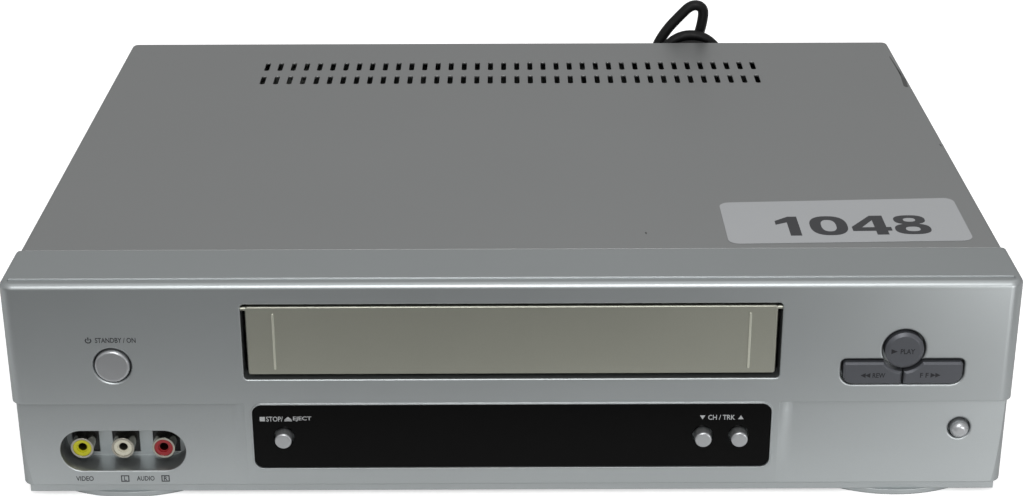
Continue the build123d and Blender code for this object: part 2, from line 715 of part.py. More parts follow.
def jack_holders():
    """Black bodies behind the barrels, one for each socket in front and one for the rear pair."""
    y0 = front_jack_back()
    y1 = POCKET_D + POCKET_WALL + FIT + JACK_BODY_D
    half = JACK_BODY_W / 2
    top = POCKET_Z + POCKET_H / 2 - 0.6 - FIT
    holders = [block(x - half, x + half, y0, y1, JACK_Z - 5.2, top) for x in jack_places()]
    x0 = rear_jack_places()[0] - half
    x1 = rear_jack_places()[-1] + half
    holders.append(block(x0, x1, PANEL_Y0 - JACK_BODY_D, PANEL_Y0, MAIN_BOARD_TOP, REAR_JACK_Z + half))
    return Compound(children=holders)


# ================================================================ floor, feet, cover, back
def post_places():
    """Posts under the corners of the deck plate."""
    x = DECK_HALF - 8
    return [(side * x, y) for side in (-1, 1) for y in (DECK_Y0 + 6, DECK_Y1 - 9)]


def main_frame():
    """Moulded floor with side walls, ribs, posts and vent slots."""
    floor = block(-FRAME_HALF, FRAME_HALF, BEZEL_D + FIT, PANEL_Y0 - FIT, FLOOR_Z, FLOOR_TOP)
    nose_half = INNER_HALF - FIT
    nose_y0 = LIP_SETBACK + LIP_T + FIT
    floor += block(-nose_half, nose_half, nose_y0, BEZEL_D + 1, FLOOR_Z, FLOOR_TOP)
    slots = [loc * SlotOverall(26, 3, rotation=90) for loc in GridLocations(9, 60, 7, 2)]
    pattern = Sketch() + slots
    for x in (45.6 - FRAME_HALF, FRAME_HALF - 32.6):
        floor -= from_above(Pos(x, 120) * pattern, FLOOR_Z - 1, FLOOR_TOP + 1)
    wall = block(FRAME_HALF - 2.2, FRAME_HALF, BEZEL_D + FIT, PANEL_Y0 - FIT, FLOOR_TOP - 0.5, FRAME_WALL_H)
    for y in SIDE_SCREW_Y:
        wall += rod_x(FRAME_HALF - 7.5, FRAME_HALF - 1, y, SIDE_SCREW_Z, 3.6)
        wall -= rod_x(FRAME_HALF - 9, FRAME_HALF + 1, y, SIDE_SCREW_Z, SCREW_R + RUN)
    floor += both_sides(wall)
    for y in (60, 232):
        floor += block(-FRAME_HALF + 1, FRAME_HALF - 1, y, y + 1.6, FLOOR_TOP - 0.5, MAIN_BOARD_Z - 0.6)
    for x, y in post_places():
        floor += rod_z(x, y, FLOOR_TOP - 0.5, DECK_BOTTOM, POST_R)
    for x, y in main_board_posts():
        floor += rod_z(x, y, FLOOR_TOP - 0.5, MAIN_BOARD_Z, 3.0)
    return floor


def main_board_posts():
    return [(x, y) for x in (11.6 - FRAME_HALF, 0, POWER_X1 - 5) for y in (40, BODY_D - 14.6)]


def front_foot():
    """Shallow silver foot: bowed front edge, straight sides and a rounded back."""
    half = FOOT_W / 2
    bow = Pos(0, FOOT_SETBACK + FOOT_FRONT_R) * Circle(FOOT_FRONT_R)
    body = Pos(0, FOOT_SETBACK + FOOT_DEPTH / 2) * Rectangle(FOOT_W, FOOT_DEPTH)
    outline = bow & body
    rear = outline.vertices().group_by(Axis.Y)[-1]
    outline = fillet(rear, half / 3)
    foot = from_above(outline, 0, FLOOR_Z)
    lip_bottom = FACE_Z0 - LIP_H
    foot -= block(-half - 1, half + 1, -1, LIP_SETBACK + LIP_T + FIT, lip_bottom, FLOOR_Z + 1)
    bottom = foot.faces().sort_by(Axis.Z)[0]
    return chamfer(bottom.edges(), 0.5)


def front_feet():
    return Compound(children=[Pos(x, 0, 0) * front_foot() for x in (-FOOT_X, FOOT_X)])


def rear_feet():
    """Round moulded pads under the back corners."""
    feet = []
    for x in (-REAR_FOOT_X, REAR_FOOT_X):
        foot = rod_z(x, REAR_FOOT_Y, 0, FLOOR_Z, REAR_FOOT_R)
        foot = chamfer(foot.edges().group_by(Axis.Z)[0], 0.8)
        feet.append(foot)
    return Compound(children=feet)


def cover_block(inset, z0, y0, y1):
    """Outer (inset 0) or inner form of the folded cover."""
    half = COVER_HALF - inset
    body = block(-half, half, y0, y1 - inset, z0, CASE_H - inset)
    upright = body.edges().filter_by(Axis.Z).group_by(Axis.Y)[-1]
    body = fillet(upright, COVER_BEND_R + 1 - inset)
    top = body.edges().group_by(Axis.Z)[-1].filter_by_position(Axis.Y, y0 + 0.1, y1 + 1)
    return fillet(top, COVER_BEND_R - inset)


def vent_slots():
    """Two rows of upright slots in plan."""
    slot = SlotOverall(VENT_LEN, VENT_W, rotation=90)
    rows = GridLocations(VENT_PITCH, VENT_ROW_PITCH, VENT_COLUMNS, 2)
    return Pos(0, VENT_FRONT_Y + VENT_ROW_PITCH / 2) * (Sketch() + [place * slot for place in rows])


def top_cover():
    """Folded sheet-steel cover with a short lip down the back."""
    cover = cover_block(0, COVER_Z0, BEZEL_D + FIT, BODY_D)
    cover -= cover_block(SHEET_T, COVER_Z0 - 1, BEZEL_D - 1, BODY_D)
    lip_z = CASE_H - COVER_REAR_LIP
    clear = COVER_HALF - COVER_BEND_R - 1
    cover -= block(-clear, clear, BODY_D - 3, BODY_D + 1, COVER_Z0 - 1, lip_z)
    cover -= from_above(vent_slots(), CASE_H - 3, CASE_H + 1)
    for y in SIDE_SCREW_Y:
        cover -= rod_x(-CASE_W, CASE_W, y, SIDE_SCREW_Z, SCREW_R + FIT)
    for x in (-REAR_SCREW_X, REAR_SCREW_X):
        cover -= rod_y(x, BODY_D - 3, BODY_D + 1, REAR_SCREW_Z, SCREW_R + FIT)
    return cover


def screw():
    """Pan-head screw along +Z, with the seat of its head at the origin."""
    head = Pos(0, 0, SCREW_HEAD_H / 2) * Cylinder(SCREW_HEAD_R, SCREW_HEAD_H)
    head = fillet(head.edges().group_by(Axis.Z)[-1], 0.8)
    return head + Pos(0, 0, -SCREW_LEN / 2) * Cylinder(SCREW_R, SCREW_LEN)


def cover_screws():
    screws = []
    for y in SIDE_SCREW_Y:
        screws.append(Pos(COVER_HALF, y, SIDE_SCREW_Z) * Rot(0, 90, 0) * screw())
        screws.append(Pos(-COVER_HALF, y, SIDE_SCREW_Z) * Rot(0, -90, 0) * screw())
    for x in (-REAR_SCREW_X, REAR_SCREW_X):
        screws.append(Pos(x, BODY_D, REAR_SCREW_Z) * Rot(-90, 0, 0) * screw())
    return Compound(children=screws)


def multi_pin_places():
    return [MULTI_X + side * MULTI_PITCH / 2 for side in (-1, 1)]


def aerial_places():
    """Aerial input above, aerial output below."""
    return [(TUNER_X, 46.0), (TUNER_X, 25.0)]


def rear_panel():
    """Steel back plate with an opening for each connector."""
    half = FRAME_HALF - COVER_BEND_R - FIT
    panel = block(-half, half, PANEL_Y0, PANEL_Y1, FLOOR_Z + 0.6, CASE_H - COVER_BEND_R - SHEET_T)
    for x, z in aerial_places():
        panel -= rod_y(x, PANEL_Y0 - 1, PANEL_Y1 + 1, z, AERIAL_R + 2.0)
    for x in multi_pin_places():
        opening = Pos(x, MULTI_Z) * RectangleRounded(MULTI_W + 2 * FIT, MULTI_H + 2 * FIT, 1.0)
        panel -= from_front(opening, PANEL_Y0 - 1, PANEL_Y1 + 1)
    for x in rear_jack_places():
        panel -= rod_y(x, PANEL_Y0 - 1, PANEL_Y1 + 1, REAR_JACK_Z, JACK_R + FIT)
    panel -= rod_y(CORD_X, PANEL_Y0 - 1, PANEL_Y1 + 1, CORD_Z, GLAND_R0 + 0.05)
    for x in (-REAR_SCREW_X, REAR_SCREW_X):
        panel -= rod_y(x, PANEL_Y0 - 1, PANEL_Y1 + 1, REAR_SCREW_Z, SCREW_R + RUN)
    return panel


def multi_pin_sockets():
    """Black sockets with a slanted corner and an upright tongue."""
    sockets = []
    for x in multi_pin_places():
        body = Pos(x, MULTI_Z) * RectangleRounded(MULTI_W, MULTI_H, 1.0)
        socket = from_front(body, PANEL_Y1 - MULTI_D, PANEL_Y1 + 1.2)
        half_w = MULTI_SLOT_W / 2
        half_h = MULTI_SLOT_H / 2
        mouth = Polygon(
            (-half_w, -half_h), (half_w, -half_h), (half_w, half_h), (-half_w + 5, half_h), (-half_w, half_h - 5),
            align=None,
        )
        floor_y = PANEL_Y1 + 1.2 - MULTI_SLOT_D
        socket -= from_front(Pos(x, MULTI_Z) * mouth, floor_y, PANEL_Y1 + 3)
        socket += block(x - half_w + 6, x + half_w - 4, floor_y - 1, PANEL_Y1 - 1, MULTI_Z - 1.2, MULTI_Z + 1.2)
        socket += block(x - 20, x + 20, PANEL_Y1 - MULTI_D, PANEL_Y0 - 4, MAIN_BOARD_TOP, MULTI_Z - 7)
        sockets.append(socket)
    return Compound(children=sockets)


# ================================================================ electronics
def boards():
    """Main board under the deck, with holes for the deck posts, and the power board beside it."""
    board = block(5.6 - FRAME_HALF, POWER_X0 - 2, 34, BODY_D - 8.6, MAIN_BOARD_Z, MAIN_BOARD_TOP)
    for x, y in post_places():
        board -= rod_z(x, y, MAIN_BOARD_Z - 1, MAIN_BOARD_TOP + 1, POST_R + FIT)
    return board


def power_board():
    return block(POWER_X0, POWER_X1, 36, BODY_D - 10.6, MAIN_BOARD_Z, MAIN_BOARD_TOP)


def transformer():
    """Laminated core with its wound bobbin."""
    x = (POWER_X0 + POWER_X1) / 2
    y = 212.0
    core = block(x - 19, x + 19, y - 8, y + 8, MAIN_BOARD_TOP + 2, MAIN_BOARD_TOP + 34)
    coil = block(x - 12, x + 12, y - 15, y + 15, MAIN_BOARD_TOP + 7, MAIN_BOARD_TOP + 29)
    coil = fillet(coil.edges().filter_by(Axis.Z), 4)
    foot = block(x - 14, x + 14, y - 13, y + 13, MAIN_BOARD_TOP, MAIN_BOARD_TOP + 8)
    return core + coil + foot


def capacitors():
    """Sleeved capacitors standing on the power board, tall ones next to the transformer."""
    cans = []
    x0 = POWER_X0 + 14
    for step, (radius, height) in enumerate(((11, 36), (8, 26), (8, 26), (5, 16), (5, 16))):
        can = rod_z(x0 + (step % 2) * 24, 176 - step * 24, MAIN_BOARD_TOP, MAIN_BOARD_TOP + height, radius)
        cans.append(chamfer(can.edges().group_by(Axis.Z)[-1], 0.6))
    return Compound(children=cans)


def heat_sink():
    """Comb of aluminium fins for the power transistors."""
    x0 = POWER_X0 + 6
    y0 = 234.0
    z1 = MAIN_BOARD_TOP + 40
    sink = block(x0, x0 + 42, y0, y0 + 3, MAIN_BOARD_TOP, z1)
    for fin in range(7):
        x = x0 + 1 + fin * 6.4
        sink += block(x, x + 1.6, y0 + 2.5, y0 + 14, MAIN_BOARD_TOP, z1)
    return sink


def tuner_can():
    """Tinned screening can and its two aerial sockets."""
    half = TUNER_W / 2
    can = block(TUNER_X - half, TUNER_X + half, PANEL_Y0 - FIT - TUNER_D, PANEL_Y0 - FIT, MAIN_BOARD_TOP, MAIN_BOARD_TOP + TUNER_H)
    can = fillet(can.edges().filter_by(Axis.Z), 1.0)
    tip = BODY_D + AERIAL_PROUD
    for x, z in aerial_places():
        can += rod_y(x, PANEL_Y0 - 1, PANEL_Y1 + 1.5, z, AERIAL_R + 1.6)
    input_x, input_z = aerial_places()[0]
    can += rod_y(input_x, PANEL_Y0, tip, input_z, AERIAL_R + 1.0)
    can -= rod_y(input_x, PANEL_Y1 + 2.5, tip + 1, input_z, AERIAL_R)
    can += rod_y(input_x, PANEL_Y1 + 2, tip - 1.5, input_z, 2.0)
    can -= rod_y(input_x, PANEL_Y1 + 3, tip + 1, input_z, 1.2)
    output_x, output_z = aerial_places()[1]
    can += rod_y(output_x, PANEL_Y0, tip, output_z, AERIAL_R)
    can -= rod_y(output_x, PANEL_Y1 + 2.5, tip + 1, output_z, AERIAL_R - 0.7)
    can += rod_y(output_x, PANEL_Y1 + 2, tip - 1, output_z, 1.17)
    return can


# ================================================================ tape deck
def guide_track(side):
    """Start and end of a tape guide, left (-1) or right (+1) of the drum."""
    start = (DRUM_X + side * GUIDE_START_OUT, GUIDE_START_Y)
    end = (DRUM_X + side * GUIDE_END_OUT, GUIDE_END_Y)
    return start, end


def track_slot(side):
    """Slot in the deck plate along the track of a guide."""
    (x0, y0), (x1, y1) = guide_track(side)
    angle = degrees(atan2(y1 - y0, x1 - x0))
    middle = Pos((x0 + x1) / 2, (y0 + y1) / 2) * Rot(0, 0, angle)
    return middle * SlotCenterToCenter(hypot(x1 - x0, y1 - y0), 4.6)


def deck_plate():
    """Pressed steel plate that carries the mechanism."""
    outline = Pos(0, (DECK_Y0 + DECK_Y1) / 2) * RectangleRounded(2 * DECK_HALF, DECK_Y1 - DECK_Y0, 4)
    for side in (-1, 1):
        outline -= track_slot(side)
        outline -= Pos(side * (REEL_X + 22), REEL_Y - 24) * SlotOverall(26, 8)
    outline -= Pos(CAPSTAN_X, CAPSTAN_Y) * Circle(CAPSTAN_R + RUN)
    outline -= Pos(0, CLUTCH_Y) * Circle(CAPSTAN_R + RUN)
    outline -= Pos(-78, 190) * RectangleRounded(30, 36, 3)
    plate = from_above(outline, DECK_BOTTOM, DECK_Z)
    bearing = rod_z(CAPSTAN_X, CAPSTAN_Y, DECK_Z - 0.5, DECK_Z + CAPSTAN_BEARING_H, 4.5)
    bearing -= rod_z(CAPSTAN_X, CAPSTAN_Y, DECK_Z - 2, DECK_Z + 10, CAPSTAN_R + RUN)
    plate += bearing
    for side in (-1, 1):
        plate += rod_z(side * REEL_X, REEL_Y, DECK_Z - 0.5, REEL_Z0 - 0.1, 4.0)
        plate += rod_z(side * REEL_X, REEL_Y, DECK_Z, SPINDLE_TOP - 4, 1.5)
    plate += rod_z(PINCH_PIVOT_X, PINCH_PIVOT_Y, DECK_Z - 0.5, DECK_Z + ARM_LIFT - FIT, 3.5)
    plate += rod_z(PINCH_PIVOT_X, PINCH_PIVOT_Y, DECK_Z, DECK_Z + 25, 1.5)
    return plate


def reel(side):
    """Reel table: rim, hub and a finned spindle that enters the cassette."""
    x = side * REEL_X
    table = rod_z(x, REEL_Y, REEL_Z0, REEL_Z0 + REEL_RIM_T, REEL_R)
    table -= rod_z(x, REEL_Y, REEL_Z0 + REEL_RIM_T - 1, REEL_Z0 + REEL_RIM_T + 1, REEL_R - 3)
    table += rod_z(x, REEL_Y, REEL_Z0 + 1, REEL_Z0 + REEL_RIM_T + 2, 9.0)
    spindle = rod_z(x, REEL_Y, REEL_Z0 + 2, SPINDLE_TOP, SPINDLE_R)
    spindle = fillet(spindle.edges().group_by(Axis.Z)[-1], 1.5)
    for angle in (90, 210, 330):
        fin = block(SPINDLE_R - 1, SPINDLE_R + 3, -0.8, 0.8, REEL_Z0 + 2, SPINDLE_TOP - 4)
        spindle += Pos(x, REEL_Y, 0) * Rot(0, 0, angle) * fin
    table += spindle
    return table - rod_z(x, REEL_Y, REEL_Z0 - 1, SPINDLE_TOP - 3, 1.5 + RUN)


def on_drum(shape):
    """Move a shape from the drum's own axis to its tilted place on the deck."""
    return Pos(DRUM_X, DRUM_Y, DRUM_BASE_Z) * Rot(DRUM_TILT, 0, 0) * shape


def lower_drum():
    """Fixed half of the head drum, with its shaft and its foot on the deck."""
    drum = on_drum(rod_z(0, 0, 0, DRUM_LOWER_H, DRUM_R))
    drum += on_drum(rod_z(0, 0, 1, DRUM_LOWER_H + DRUM_UPPER_H - 1, DRUM_SHAFT_R))
    return drum + rod_z(DRUM_X, DRUM_Y, DECK_Z, DRUM_BASE_Z + 3, 22)


def upper_drum():
    """Turning half that carries the heads, dished on top."""
    z0 = DRUM_LOWER_H + AIR_GAP
    drum = rod_z(0, 0, z0, z0 + DRUM_UPPER_H, DRUM_R)
    drum -= rod_z(0, 0, z0 + DRUM_UPPER_H - 3, z0 + DRUM_UPPER_H + 1, DRUM_R - 5)
    drum += rod_z(0, 0, z0 + 1, z0 + DRUM_UPPER_H + 2, 9)
    drum -= rod_z(0, 0, 0, z0 + DRUM_UPPER_H - 1, DRUM_SHAFT_R + RUN)
    return on_drum(drum)


def grooved_pulley(x, y, z0, height, groove_r):
    """Pulley with a flat belt groove between two flanges."""
    pulley = rod_z(x, y, z0, z0 + height, groove_r + FLANGE_OVER)
    belt_z = z0 + height / 2
    half = BELT_H / 2 + 0.3
    ring = rod_z(x, y, belt_z - half, belt_z + half, groove_r + 5)
    ring -= rod_z(x, y, belt_z - half - 1, belt_z + half + 1, groove_r)
    return pulley - ring


def capstan_flywheel():
    wheel = grooved_pulley(CAPSTAN_X, CAPSTAN_Y, FLYWHEEL_Z, PULLEY_H, FLYWHEEL_R)
    return wheel + rod_z(CAPSTAN_X, CAPSTAN_Y, FLYWHEEL_Z, CAPSTAN_TOP, CAPSTAN_R)


def clutch_pulley():
    """Belt pulley under the deck and the small driving wheel above it, on one shaft."""
    pulley = grooved_pulley(0, CLUTCH_Y, FLYWHEEL_Z, PULLEY_H, CLUTCH_PULLEY_R)
    pulley += rod_z(0, CLUTCH_Y, FLYWHEEL_Z, REEL_Z0 + REEL_RIM_T + 1, CAPSTAN_R)
    return pulley + rod_z(0, CLUTCH_Y, REEL_Z0 + 0.4, REEL_Z0 + REEL_RIM_T - 0.2, CLUTCH_WHEEL_R)


def belt_loop(clearance):
    """Plan outline of the loop round both pulleys."""
    big = Pos(CAPSTAN_X, CAPSTAN_Y) * Circle(FLYWHEEL_R + clearance)
    small = Pos(0, CLUTCH_Y) * Circle(CLUTCH_PULLEY_R + clearance)
    return make_hull((big + small).edges())


def drive_belt():
    middle = FLYWHEEL_Z + PULLEY_H / 2
    loop = belt_loop(AIR_GAP + BELT_T) - belt_loop(AIR_GAP)
    return from_above(loop, middle - BELT_H / 2, middle + BELT_H / 2)


def idler_arm():
    """Swinging plate between the clutch shaft and the idler wheel."""
    z0 = REEL_Z0 + REEL_RIM_T
    outline = Pos(0, CLUTCH_Y + IDLER_ARM / 2) * SlotCenterToCenter(IDLER_ARM, 9, rotation=90)
    arm = from_above(outline, z0, z0 + 1.0)
    arm += rod_z(0, CLUTCH_Y + IDLER_ARM, REEL_Z0 + 0.2, z0 + 0.5, 1.5)
    return arm - rod_z(0, CLUTCH_Y, z0 - 1, z0 + 2, CAPSTAN_R + RUN)


def idler_wheel():
    y = CLUTCH_Y + IDLER_ARM
    wheel = rod_z(0, y, REEL_Z0 + 0.4, REEL_Z0 + REEL_RIM_T - 0.2, IDLER_WHEEL_R)
    return wheel - rod_z(0, y, REEL_Z0 - 1, REEL_Z0 + REEL_RIM_T + 1, 1.5 + RUN)


def pinch_place():
    """Middle of the pinch roller at rest, swung away from the capstan."""
    pressed_x = CAPSTAN_X - PINCH_PIVOT_X
    pressed_y = CAPSTAN_Y - CAPSTAN_R - PINCH_R - 0.1 - PINCH_PIVOT_Y
    reach = hypot(pressed_x, pressed_y)
    angle = atan2(pressed_y, pressed_x) + radians(PINCH_SWING)
    return PINCH_PIVOT_X + reach * cos(angle), PINCH_PIVOT_Y + reach * sin(angle)


def pinch_arm():
    """Lever with the roller's axle, turning on its post."""
    x, y = pinch_place()
    z0 = DECK_Z + ARM_LIFT
    roller_z0 = z0 + ROLLER_LIFT
    arm_angle = degrees(atan2(y - PINCH_PIVOT_Y, x - PINCH_PIVOT_X))
    middle = Pos((x + PINCH_PIVOT_X) / 2, (y + PINCH_PIVOT_Y) / 2) * Rot(0, 0, arm_angle)
    outline = middle * SlotCenterToCenter(hypot(x - PINCH_PIVOT_X, y - PINCH_PIVOT_Y), 7)
    arm = from_above(outline, z0, z0 + 1.6)
    arm += rod_z(PINCH_PIVOT_X, PINCH_PIVOT_Y, z0, DECK_Z + 24, 3.4)
    arm += rod_z(x, y, z0, roller_z0 + PINCH_H + 0.8, 1.5)
    return arm - rod_z(PINCH_PIVOT_X, PINCH_PIVOT_Y, z0 - 1, DECK_Z + 26, 1.5 + RUN)


def pinch_roller():
    x, y = pinch_place()
    z0 = DECK_Z + ARM_LIFT + ROLLER_LIFT
    roller = rod_z(x, y, z0, z0 + PINCH_H, PINCH_R)
    roller = chamfer(roller.edges().filter_by(GeomType.CIRCLE), 0.5)
    return roller - rod_z(x, y, z0 - 1, z0 + PINCH_H + 1, 1.5 + RUN)


def tape_guide(side):
    """Carriage with an upright roller post and a slanted post, ready at the start of its track."""
    (x, y), _ = guide_track(side)
    base = block(x - 5, x + 5, y - 7, y + 5, DECK_Z + AIR_GAP, DECK_Z + 4)
    base = fillet(base.edges().filter_by(Axis.Z), 2)
    foot_z = DECK_BOTTOM - AIR_GAP - GUIDE_FOOT_T
    carriage = base + rod_z(x, y, foot_z, DECK_Z + 1, 2.0)
    carriage += rod_z(x, y, foot_z, foot_z + GUIDE_FOOT_T, 4.0)
    carriage += rod_z(x, y, DECK_Z + 3, DECK_Z + 24, GUIDE_POST_R)
    for z in (DECK_Z + 5, DECK_Z + 22):
        carriage += rod_z(x, y, z, z + 1.2, GUIDE_POST_R + 1)
    slant = Pos(x, y - 5, DECK_Z + 3) * Rot(0, -side * 12, 0) * (Pos(0, 0, 9) * Cylinder(1.2, 18))
    return carriage + slant


def tape_heads():
    """Erase head on the supply side and the sound head on the take-up side."""
    heads = []
    for x, y in ((DRUM_X - 58, 166), (CAPSTAN_X - 2, 174)):
        head = block(x - 5, x + 5, y - 4, y + 4, DECK_Z, DECK_Z + 22)
        front = head.edges().filter_by(Axis.Z).group_by(Axis.Y)[-1]
        heads.append(fillet(front, 2.5))
    return Compound(children=heads)


# ================================================================ cassette housing
def gear_outline(teeth, phase=0.0):
    """Spur gear outline with straight-sided teeth.  phase is in teeth."""
    radius = MODULE * teeth / 2
    step = 2 * pi / teeth
    root_half = 0.27 * step
    tip_half = 0.12 * step
    points = []
    for tooth in range(teeth):
        middle = (tooth + phase) * step
        profile = (
            (radius - DEDENDUM, -root_half), (radius + ADDENDUM, -tip_half),
            (radius + ADDENDUM, tip_half), (radius - DEDENDUM, root_half),
        )
        points += [(r * cos(middle + a), r * sin(middle + a)) for r, a in profile]
    return Polygon(*points, align=None)


def gear_x(teeth, x0, x1, y, z, phase=0.0):
    """Gear with its axis along X.  At phase 0 one tooth points along +Y."""
    plane = Plane(origin=(x0, y, z), x_dir=(0, 1, 0), z_dir=(1, 0, 0))
    return extrude(plane * gear_outline(teeth, phase), amount=x1 - x0)


def rack_outline():
    """Side outline of the slide plate's top edge, a space lying under the pinion."""
    y1 = SLIDE_Y0 + SLIDE_LEN
    root = RACK_PITCH_Z - DEDENDUM
    tip = RACK_PITCH_Z + ADDENDUM
    teeth = int(SLIDE_LEN / TOOTH_PITCH) - 1
    first = SHAFT_Y + TOOTH_PITCH / 2
    while first - TOOTH_PITCH > SLIDE_Y0 + TOOTH_PITCH / 2:
        first -= TOOTH_PITCH
    points = [(y1, SLIDE_Z0), (SLIDE_Y0, SLIDE_Z0), (SLIDE_Y0, root)]
    for tooth in range(teeth):
        middle = first + tooth * TOOTH_PITCH
        points += [(middle - 0.27 * TOOTH_PITCH, root), (middle - 0.12 * TOOTH_PITCH, tip)]
        points += [(middle + 0.12 * TOOTH_PITCH, tip), (middle + 0.27 * TOOTH_PITCH, root)]
    points.append((y1, root))
    return Polygon(*points, align=None)


def pin_places():
    return ((FRONT_PIN_Y, FRONT_PIN_Z), (REAR_PIN_Y, REAR_PIN_Z))


def slide_plate():
    """Right slide plate: rack along the top and an upright slot for each holder pin."""
    outline = rack_outline()
    for y, z in pin_places():
        outline -= Pos(y, z - DROP / 2) * SlotCenterToCenter(DROP, 2 * PIN_R + 0.2, rotation=90)
    return from_side(outline, SLIDE_IN, SLIDE_OUT)


def slide_plates():
    right = slide_plate()
    return Compound(children=[mirror(right, about=Plane.YZ), right])


def cassette_holder():
    """Folded steel carrier: two sides with ledges below, a top plate and stops at the back."""
    y1 = HOLDER_Y0 + HOLDER_LEN
    top = CASSETTE_TOP + HOLDER_SIDE_GAP
    side = block(HOLDER_IN, HOLDER_OUT, HOLDER_Y0, y1, CASSETTE_Z - 0.2 - HOLDER_T, top + HOLDER_T)
    ledge_top = CASSETTE_Z - 0.2
    side += block(HOLDER_OUT - LEDGE_W, HOLDER_OUT, HOLDER_Y0, y1, ledge_top - HOLDER_T, ledge_top)
    for y, z in pin_places():
        side += rod_x(HOLDER_IN + 0.2, SLIDE_OUT, y, z, PIN_R)
    side += block(STOP_TAB_X0, STOP_TAB_X1, y1 - HOLDER_T, y1, top - STOP_TAB_H, top + 0.1)
    holder = both_sides(side)
    top_outline = Pos(0, y1 - 22) * Rectangle(2 * HOLDER_OUT, 44)
    for x in (-52, 52):
        top_outline -= Pos(x, y1 - 24) * RectangleRounded(50, 20, 3)
    return holder + from_above(top_outline, top, top + HOLDER_T)


def cassette_housing():
    """Fixed steel frame: a slotted bracket each side, feet on the deck and a bridge on top."""
    z1 = BRIDGE_Z + BRACKET_T
    outline = Polygon(
        (BRACKET_Y0, SLIDE_Z0 - 2), (DECK_Y0 + 4, SLIDE_Z0 - 2), (DECK_Y0 + 4, DECK_Z),
        (BRACKET_Y1, DECK_Z), (BRACKET_Y1, z1), (BRACKET_Y0, z1), align=None,
    )
    for y, z in pin_places():
        level = Pos(y + SLIDE_TRAVEL / 2, z) * SlotCenterToCenter(SLIDE_TRAVEL, 2 * PIN_R + 1)
        upright = Pos(y + SLIDE_TRAVEL, z - DROP / 2) * SlotCenterToCenter(DROP, 2 * PIN_R + 1, rotation=90)
        outline -= level + upright
    outline -= Pos(SHAFT_Y, SHAFT_Z) * Circle(SHAFT_R + RUN)
    side = from_side(outline, BRACKET_IN, BRACKET_OUT)
    side += block(BRACKET_IN, BRACKET_OUT + 9, DECK_Y0 + 6, BRACKET_Y1 - 4, DECK_Z, DECK_Z + BRACKET_T)
    housing = both_sides(side)
    bridge = Pos(0, (SHAFT_Y + BRACKET_Y1) / 2 + 4) * Rectangle(2 * BRACKET_OUT, BRACKET_Y1 - SHAFT_Y - 16)
    for x in (-48, 48):
        bridge -= Pos(x, (SHAFT_Y + BRACKET_Y1) / 2 + 4) * RectangleRounded(60, 26, 4)
    housing += from_above(bridge, BRIDGE_Z, z1)
    # Ear that carries the loading motor.
    ear = block(EAR_X, EAR_X + BRACKET_T, SHAFT_Y - 12, SHAFT_Y + 12, MOTOR_Z - 14, MOTOR_Z + 6)
    ear += block(BRACKET_IN, EAR_X + BRACKET_T, SHAFT_Y - 12, SHAFT_Y + 12, MOTOR_Z - 14, MOTOR_Z - 14 + BRACKET_T)
    ear -= rod_x(EAR_X - 1, EAR_X + 3, SHAFT_Y, MOTOR_Z, 1.0 + FIT)
    return housing + ear


def pressed_gear(teeth, x0, width):
    """Gear pressed on the cross shaft, a space of its teeth pointing down."""
    gear = gear_x(teeth, x0, x0 + width, SHAFT_Y, SHAFT_Z, 0.75 * teeth)
    return gear - rod_x(x0 - 1, x0 + width + 1, SHAFT_Y, SHAFT_Z, SHAFT_R)


def drive_shaft():
    """Cross shaft, a pinion pressed on it over each rack and the driven gear at its right end."""
    gear_x0 = BRACKET_OUT + GEAR_GAP
    shaft = rod_x(-BRACKET_OUT - 0.6, gear_x0 + GEAR_W + 0.4, SHAFT_Y, SHAFT_Z, SHAFT_R)
    pinion_w = SLIDE_T - 0.2
    pinions = [pressed_gear(PINION_TEETH, x, pinion_w) for x in (-SLIDE_OUT + 0.1, SLIDE_IN + 0.1)]
    return Compound(children=[shaft, *pinions, pressed_gear(DRIVE_TEETH, gear_x0, GEAR_W)])


def loading_motor():
    """Small can motor, flat on two sides, screwed to the ear."""
    x0 = EAR_X + BRACKET_T
    can = rod_x(x0, x0 + MOTOR_LEN, SHAFT_Y, MOTOR_Z, MOTOR_R)
    flat = MOTOR_R * 0.8
    can &= block(x0, x0 + MOTOR_LEN, SHAFT_Y - MOTOR_R, SHAFT_Y + MOTOR_R, MOTOR_Z - flat, MOTOR_Z + flat)
    cap = rod_x(x0 + MOTOR_LEN - 0.5, x0 + MOTOR_LEN + 2, SHAFT_Y, MOTOR_Z, 5)
    bore = rod_x(x0 - 1, x0 + 8, SHAFT_Y, MOTOR_Z, 1.0 + RUN)
    return can + cap - bore


def motor_pinion():
    """Pinion and motor shaft.  A space faces the driven gear's tooth."""
    x0 = BRACKET_OUT + GEAR_GAP
    pinion = gear_x(MOTOR_TEETH, x0, x0 + GEAR_W, SHAFT_Y, MOTOR_Z, 0.25 * MOTOR_TEETH + 0.5)
    return pinion + rod_x(x0, EAR_X + BRACKET_T + 7, SHAFT_Y, MOTOR_Z, 1.0)


